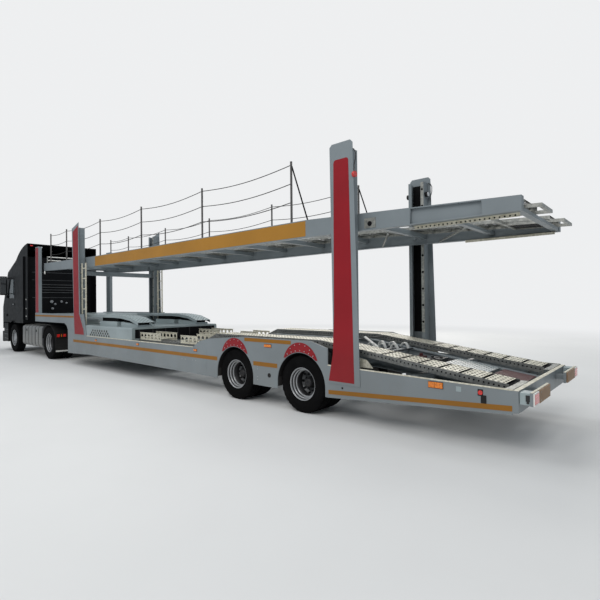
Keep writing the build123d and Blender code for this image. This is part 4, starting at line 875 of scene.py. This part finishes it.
def side_details(side, name):
    bolts = Shape(STEEL, PAINT, PLASTIC, CREAM, side=side)
    skin = HALF_WIDTH
    # two rows on each red arch trim
    for x_wheel in (REAR_AXLE, FRONT_AXLE):
        for degrees in range(-30, 31, 10):
            lean = math.radians(degrees)
            outer = 0.5 + 0.149 * math.cos(lean * 2.25)
            for radius in (0.522, outer - 0.026):
                if radius > 0.5 and outer - radius > 0.018:
                    bolts.stud(x_wheel + radius * math.sin(lean), skin + 0.005,
                               TRAILER_WHEEL_Z + radius * math.cos(lean), 0.004, 0.0085, STEEL, 8)
    # coupling socket and bolts on the skirt between the wheels
    bolts.lathe(((0.0, 0.036), (0.004, 0.036), (0.004, 0.024), (0.002, 0.020), (0.002, 0.0001)),
                (1.50, skin, 0.52), 24, PLASTIC)
    for x, z in ((1.78, 0.42), (1.78, 0.47), (1.78, 0.60), (1.78, 0.64), (3.55, 0.60), (3.66, 0.60),
                 (3.90, 0.60), (4.02, 0.60)):
        bolts.stud(x, skin, z, 0.004, 0.008, STEEL, 8)
    bolts.stud(0.02, skin, 0.49, 0.003, 0.016, PLASTIC)
    # bright turned edge of the skin along the ramp and the low deck
    for line in (((0.28, 0.8004), (-2.24, 0.7504)), ((8.595, 0.8654), (3.645, 0.8654))):
        for rise, y in ((0.003, SKIN_IN + 0.0004), (-0.012, skin)):
            bolts.prism((*line, *((x, z + rise) for x, z in reversed(line))), y, skin + 0.002, CREAM)
    # seams of the skin
    for x in (8.6, 5.9, 3.2):
        bolts.box(x - 0.004, x + 0.004, skin, skin + 0.0015, 0.37, 0.85, PAINT)
    bolts.made(f"side_bolts_{name}", "trailer")


both(side_details)


# Lamps of the trailer and the boards at its tail

lamps = Shape(AMBER, RED_LENS, PLASTIC)
boards = Shape(BROWN, WHITE, ZINC, CREAM, HOSE, PALE)
y = HALF_WIDTH
for lamps.side in (1, -1):
    boards.side = lamps.side
    for x, z, half, low in ((8.0, 0.77, 0.05, 0.02), (5.81, 0.79, 0.05, 0.02), (3.56, 0.80, 0.05, 0.02),
                            (-1.37, 0.70, 0.09, 0.035), (1.53, 1.005, 0.08, 0.022)):
        lamps.box(x - half - 0.006, x + half + 0.006, y, y + 0.004,
                  z - low - 0.006, z + low + 0.006, PLASTIC)
        for x_a, x_b in ((x - half, x + half * 0.1), (x + half * 0.14, x + half)):
            lamps.box(x_a, x_b, y, y + 0.0098, z - low, z + low, AMBER)
    lamps.stud(-1.90, y, 0.677, 0.008, 0.026, RED_LENS, 20)
    lamps.box(-1.93, -1.87, y, y + 0.004, 0.640, 0.715, PLASTIC)
    lamps.box(-1.965, -1.905, y, y + 0.006, 0.560, 0.650, PLASTIC)
    boards.box(-1.68, -1.62, y, y + 0.0015, 0.655, 0.715, PALE)
    # outer lamp in its housing, primed board beside it
    x = -2.44
    boards.box(x - 0.0155, x - 0.0005, 1.045, 1.245, 0.597, 0.731, WHITE)
    lamps.box(x - 0.0178, x - 0.0155, 1.06, 1.232, 0.610, 0.718, RED_LENS)
    boards.box(x - 0.0155, x - 0.0005, 0.52, 1.035, 0.595, 0.733, BROWN)
    boards.box(x + 0.031, x + 0.135, 1.06, 1.235, 0.60, 0.728, PALE)
    boards.box(x + 0.001, x + 0.030, 0.49, 1.245, 0.7352, 0.7375, CREAM)
    boards.box(-2.298, -2.2405, 0.0, 1.248, 0.7402, 0.7425, CREAM)
    boards.box(x + 0.034, x + 0.072, 1.235, 1.2475, 0.640, 0.706, HOSE)
    boards.stud(x + 0.053, 1.235, 0.627, 0.011, 0.013, HOSE, 16)
    for y_bolt in (0.58, 0.97):
        for z in (0.62, 0.71):
            boards.rod((x - 0.016, y_bolt, z), (x - 0.0195, y_bolt, z), 0.009, ZINC, 8)
    boards.box(-2.235, -2.15, 0.56, 1.23, 0.7405, 0.7475, ZINC)
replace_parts(lamps.made("trailer_lamp_set", "trailer", bevel=0.001), "trailer_lamps")
boards.made("lamp_boards", "trailer", bevel=0.001)


# Things between the rear tracks, on the columns and on the hump

things = Shape(REDDISH, HOSE, WHITE, GEAR, STEEL)
things.box(-0.98, -0.44, -0.414, 0.414, 0.790, 0.798, GEAR)
things.box(-0.64, -0.52, -0.09, 0.07, 0.798, 0.875)
things.rod((-0.58, -0.01, 0.875), (-0.58, -0.01, 0.915), 0.028, REDDISH, 16)
things.rod((-0.52, -0.05, 0.84), (-0.47, -0.05, 0.84), 0.018, STEEL)
for x in (-0.76, -0.90):
    things.box(x - 0.055, x + 0.055, -0.16, 0.12, 0.798, 0.862, HOSE)
    things.rod((x, -0.02, 0.862), (x, -0.02, 0.885), 0.024, HOSE, 16)
# bent straps over the lines to the valves
turns = [math.pi * (0.95 - 0.09 * i) for i in range(10)]
for x in (0.25, 0.04, -0.18):
    outer, inner = ([(x + wide * math.cos(a), 0.93 + high * math.sin(a)) for a in turns]
                    for wide, high in ((0.075, 0.12), (0.058, 0.102)))
    for y_a, y_b in ((0.08, 0.14), (-0.26, -0.20)):
        for a, b, c, d in zip(outer, outer[1:], inner, inner[1:]):
            things.prism((a, b, d, c), y_a, y_b, WHITE)
    things.rod((x - 0.06, -0.41, 0.935), (x - 0.06, 0.41, 0.935), 0.012, HOSE)
# bar that leans on the first line, and the line that it starts from
things.prism(((0.44, 1.132), (0.44, 1.112), (0.18, 0.947), (0.18, 0.967)), -0.035, 0.035, WHITE)
things.rod((0.43, -0.609, 1.094), (0.43, 0.609, 1.094), 0.012, HOSE)
things.prism(((-1.68, 0.716), (-2.10, 0.655), (-2.10, 0.661), (-1.68, 0.722)), -0.40, 0.40)
things.made("valve_tray", "trailer", bevel=0.003)
# the walls of this sheet's holes take the dark finish: painted shade
centre = Shape(PAINT_LIT, DARK)
perforated(centre, cuts(-1.62, -1.02, 12), cuts(-0.43, 0.43, 17),
           lambda u, v: (u, v, 0.966 + 0.1462 * u + 0.004), (0.013, 0.013), staggered=True)
centre.made("centre_sheet", "trailer", thick=0.004, punched=True)


def column_details(side, name):
    made = Shape(DARK, RED_LENS, CLEAR, HOSE, PLASTIC, ZINC, CREAM, side=side)
    y_strip = COLUMN_IN - 0.004
    for x in (REAR_COLUMN, FRONT_COLUMN):
        # locking strip on the channel's lip, its holes drawn as dark spots of painted shade; painted shadow
        # at the back of the channel
        made.box(x - 0.146, x - 0.091, y_strip, COLUMN_IN, 1.16, 3.88, ZINC)
        spots(made, (x - 0.118, y_strip, 1.35), (x - 0.118, y_strip, 3.75), 9, 0.021, -1, DARK)
        made.box(x - 0.134, x + 0.134, 1.2225, 1.2235, 1.16, 3.86)
    # round lamps near the top of the rear column, and the conduit to one
    if side < 0:
        for out in (-1, 1):
            back, front, glass = ((out * x, 1.14, 3.66) for x in (0.152, 0.202, 0.208))
            made.rod(back, front, 0.045, PLASTIC, 24)
            made.rod(front, glass, 0.040, CLEAR, 24)
    else:
        made.rod((-0.203, 1.2535, 3.50), (-0.243, 1.2535, 3.50), 0.042, RED_LENS, 24)
    route = ((-0.165, 3.88), (-0.205, 3.86), (-0.232, 3.80), (-0.230, 3.72), (-0.208, 3.64), (-0.205, 3.54))
    for (x_a, z_a), (x_b, z_b) in zip(route, route[1:]):
        made.rod((x_a, 1.235, z_a), (x_b, 1.235, z_b), 0.007, HOSE, 8)
    # gusset behind the foot of the rear column
    made.prism(((-0.165, 0.792), (-0.40, 0.792), (-0.30, 0.90), (-0.165, 0.925)), 1.10, 1.112, CREAM)
    made.made(f"column_details_{name}", "trailer")


def hump_cheek(side, name):
    """Rounded holes in the side of the hump, each a dark disc of painted shade with its turned edge."""
    made = Shape(DARK, ZINC, side=side)
    y = SKIN_IN - 0.0004
    for row, z in enumerate((0.905, 0.965, 1.025)):
        for i in range(9 - row):
            x = 7.28 + 0.135 * i + 0.06 * row
            made.stud(x, y, z, 0.001, 0.030, DARK, 16)
            made.lathe(((0.0, 0.037), (0.003, 0.035), (0.003, 0.031), (0.001, 0.029)), (x, y, z), 16, ZINC)
    made.made(f"cheek_holes_{name}", "trailer")


def liner_shade_curtains(side, name):
    """Dark sheets of painted shade that carry the liners' ends straight down to the skirt."""
    made = Shape(GEAR, side=side)
    for x_wheel in (REAR_AXLE, FRONT_AXLE):
        for end in (-1, 1):
            x = x_wheel + end * 0.488
            made.box(x, x + end * 0.006, 0.56, 1.236, 0.365, 0.525)
    made.made(f"liner_shade_curtains_{name}", "trailer")


# the shaded end of the hump with its stiffeners
shaded = Shape(DARK, GEAR)
shaded.box(6.0965, 6.0985, -1.16, 1.16, 0.90, 1.112)
shaded.box(6.0965, 6.0985, -0.58, 0.58, 0.81, 0.90)
for y in cuts(-1.05, 1.05, 6):
    shaded.box(6.0915, 6.0965, y - 0.012, y + 0.012, 0.905, 1.108, GEAR)
shaded.made("hump_end", "trailer")
both(column_details)
both(hump_cheek)
both(liner_shade_curtains)


# Cab and tractor details

def screen_point(share, y):
    """A place before the glass at a share of the windscreen's height, set back from its frame."""
    back = 0.009
    return (16.13 - 0.53 * share - 0.902 * back, y, 1.85 + 1.11 * share - 0.431 * back)


cab = Shape(PLASTIC, CLEAR, RED_LENS, AMBER, STEEL, WHITE, GREY_SHADE_AND_SHEEN)
for y, z, radius in ((0.31, 1.84, 0.056), (0.19, 1.75, 0.040), (0.28, 1.58, 0.046), (-0.03, 1.84, 0.040),
                     (-0.20, 1.79, 0.034)):
    cab.lathe(((0.0, radius), (-0.018, radius), (-0.020, radius * 0.6), (-0.034, radius * 0.55),
               (-0.036, 0.0001)), (CAB_REAR, y, z), 20, STEEL, "X")
cab.box(CAB_REAR - 0.012, CAB_REAR, 0.52, 0.555, 2.85, 3.04, WHITE)
# light grey strips on the cab's black rear wall: painted highlights on its ribs and panels
for z in (2.164, 2.26, 2.356, 2.452):
    cab.box(CAB_REAR - 0.0225, CAB_REAR - 0.0205, -0.75, 0.75, z + 0.004, z + 0.020, GREY_SHADE_AND_SHEEN)
for z in (2.62, 2.90, 1.98):
    cab.box(CAB_REAR - 0.003, CAB_REAR, -0.95, 0.95, z, z + 0.012, GREY_SHADE_AND_SHEEN)
cab.box(13.556, 13.560, 1.02, 1.10, 3.800, 3.835, RED_LENS)
cab.box(13.556, 13.560, 0.72, 0.80, 3.755, 3.80, CLEAR)
for side in (1, -1):
    cab.side = side
    y = 1.19
    for z in (1.31, 1.58, 1.90):
        cab.box(13.68, 13.72, y, y + 0.012, z, z + 0.035, WHITE)
    for z in (2.2, 3.0):
        cab.box(13.60, 13.84, y, y + 0.003, z, z + 0.006)
    cab.rod(screen_point(0.06, 0.55), screen_point(0.10, 0.16), 0.010, PLASTIC, 8)
    for y in (0.35, 0.88):
        cab.box(15.78, 15.86, y - 0.05, y + 0.05, 2.850, 2.868, AMBER)
    # both wipers lean the same way
    cab.side = 1
    cab.rod(screen_point(0.06, side * 0.08 + 0.25), screen_point(0.42, side * 0.08 + 0.85),
            0.007, PLASTIC, 8, 0.004)
cab.made("cab_details", "cab", bevel=0.001)

# lamps and small trims of the tractor
lamps = Shape(PLASTIC, RED_LENS, AMBER, CLEAR, STEEL)
trims = Shape(PLASTIC, WHITE, STEEL)
for lamps.side in (1, -1):
    trims.side = lamps.side
    lamps.box(10.8415, 10.8895, 0.93, 1.21, 0.715, 0.815)
    for y_a, y_b, finish in ((0.94, 1.02, RED_LENS), (1.06, 1.08, AMBER), (1.12, 1.20, RED_LENS)):
        lamps.box(10.8355, 10.8415, y_a, y_b, 0.722, 0.808, finish)
    lamps.box(16.2905, 16.296, 0.80, 1.18, 0.43, 0.64)
    for y, finish in ((0.89, CLEAR), (1.06, STEEL)):
        lamps.lathe(((0.0, 0.080), (0.0035, 0.078), (0.0035, 0.066), (0.001, 0.04), (0.0035, 0.0001)),
                    (16.2962, y, 0.535), 28, finish, "X")
    trims.box(10.8862, 10.8900, 0.60, 1.22, 0.262, 0.305, WHITE)
    for x in (12.55, 13.5):
        trims.stud(x, 1.218, 0.86, 0.020, 0.045, PLASTIC, 24)
    for z in (0.46, 0.62, 0.80):
        for x in cuts(15.62, 16.0, 9):
            trims.box(x, x + 0.02, 1.235, 1.2425, z, z + 0.012, STEEL)
trims.box(16.2905, 16.2935, -0.26, 0.26, 0.345, 0.455, WHITE)
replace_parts(lamps.made("tractor_lamp_set", "tractor", bevel=0.001), "tractor_lamps")
trims.made("tractor_trims", "tractor", bevel=0.001)


def tank_ribs(side, name):
    """A rounded sheet over each rib of a tank, from corner to corner of its outer face."""
    made = Shape(ALUMINIUM, side=side)
    low, high, face, corner, bulge = 0.32, 1.04, 1.22, 0.12, 0.014
    start, pitch, half, ribs = 12.05, 1.94 / 6, 0.136, 6
    # each place of the path with its normal
    path = [(face - corner - 0.36, low, 0.0, -1.0)]
    for degrees in range(-90, 1, 15):
        u, v = math.cos(math.radians(degrees)), math.sin(math.radians(degrees))
        path.append((face - corner + corner * u, low + corner + corner * v, u, v))
    path += [(y, low + high - z, u, -v) for y, z, u, v in reversed(path)]
    for rib in range(ribs):
        middle = start + pitch * (rib + 0.5)
        rows = []
        for number, (y, z, u, v) in enumerate(path):
            swell = bulge * min(1.0, min(number, len(path) - 1 - number) / 6)
            steps = [(step / 6, 0.0006 + swell * (1 - (step / 6) ** 2)) for step in range(-6, 7)]
            rows.append(made.ring([(middle + half * t, y + u * rise, z + v * rise) for t, rise in steps]))
        for below, over in zip(rows, rows[1:]):
            corners = zip(below, below[1:], over[1:], over)
            made.paint([made.bm.faces.new(quad) for quad in corners], None, True)
    made.made(f"tank_ribs_{name}", "tractor")


def door_details(side, name):
    made = Shape(PLASTIC, MIRROR, STEEL, side=side)
    made.box(14.84, 15.02, 1.24, 1.250, 1.72, 1.79)
    made.box(14.86, 15.00, 1.250, 1.262, 1.745, 1.770, STEEL)
    for z_a, z_b in ((2.13, 2.50), (2.53, 2.77)):
        made.box(15.3565, 15.3598, 1.345, 1.525, z_a, z_b, MIRROR)
    made.made(f"door_details_{name}", f"door_{name}", bevel=0.0012)


both(tank_ribs)
both(door_details)
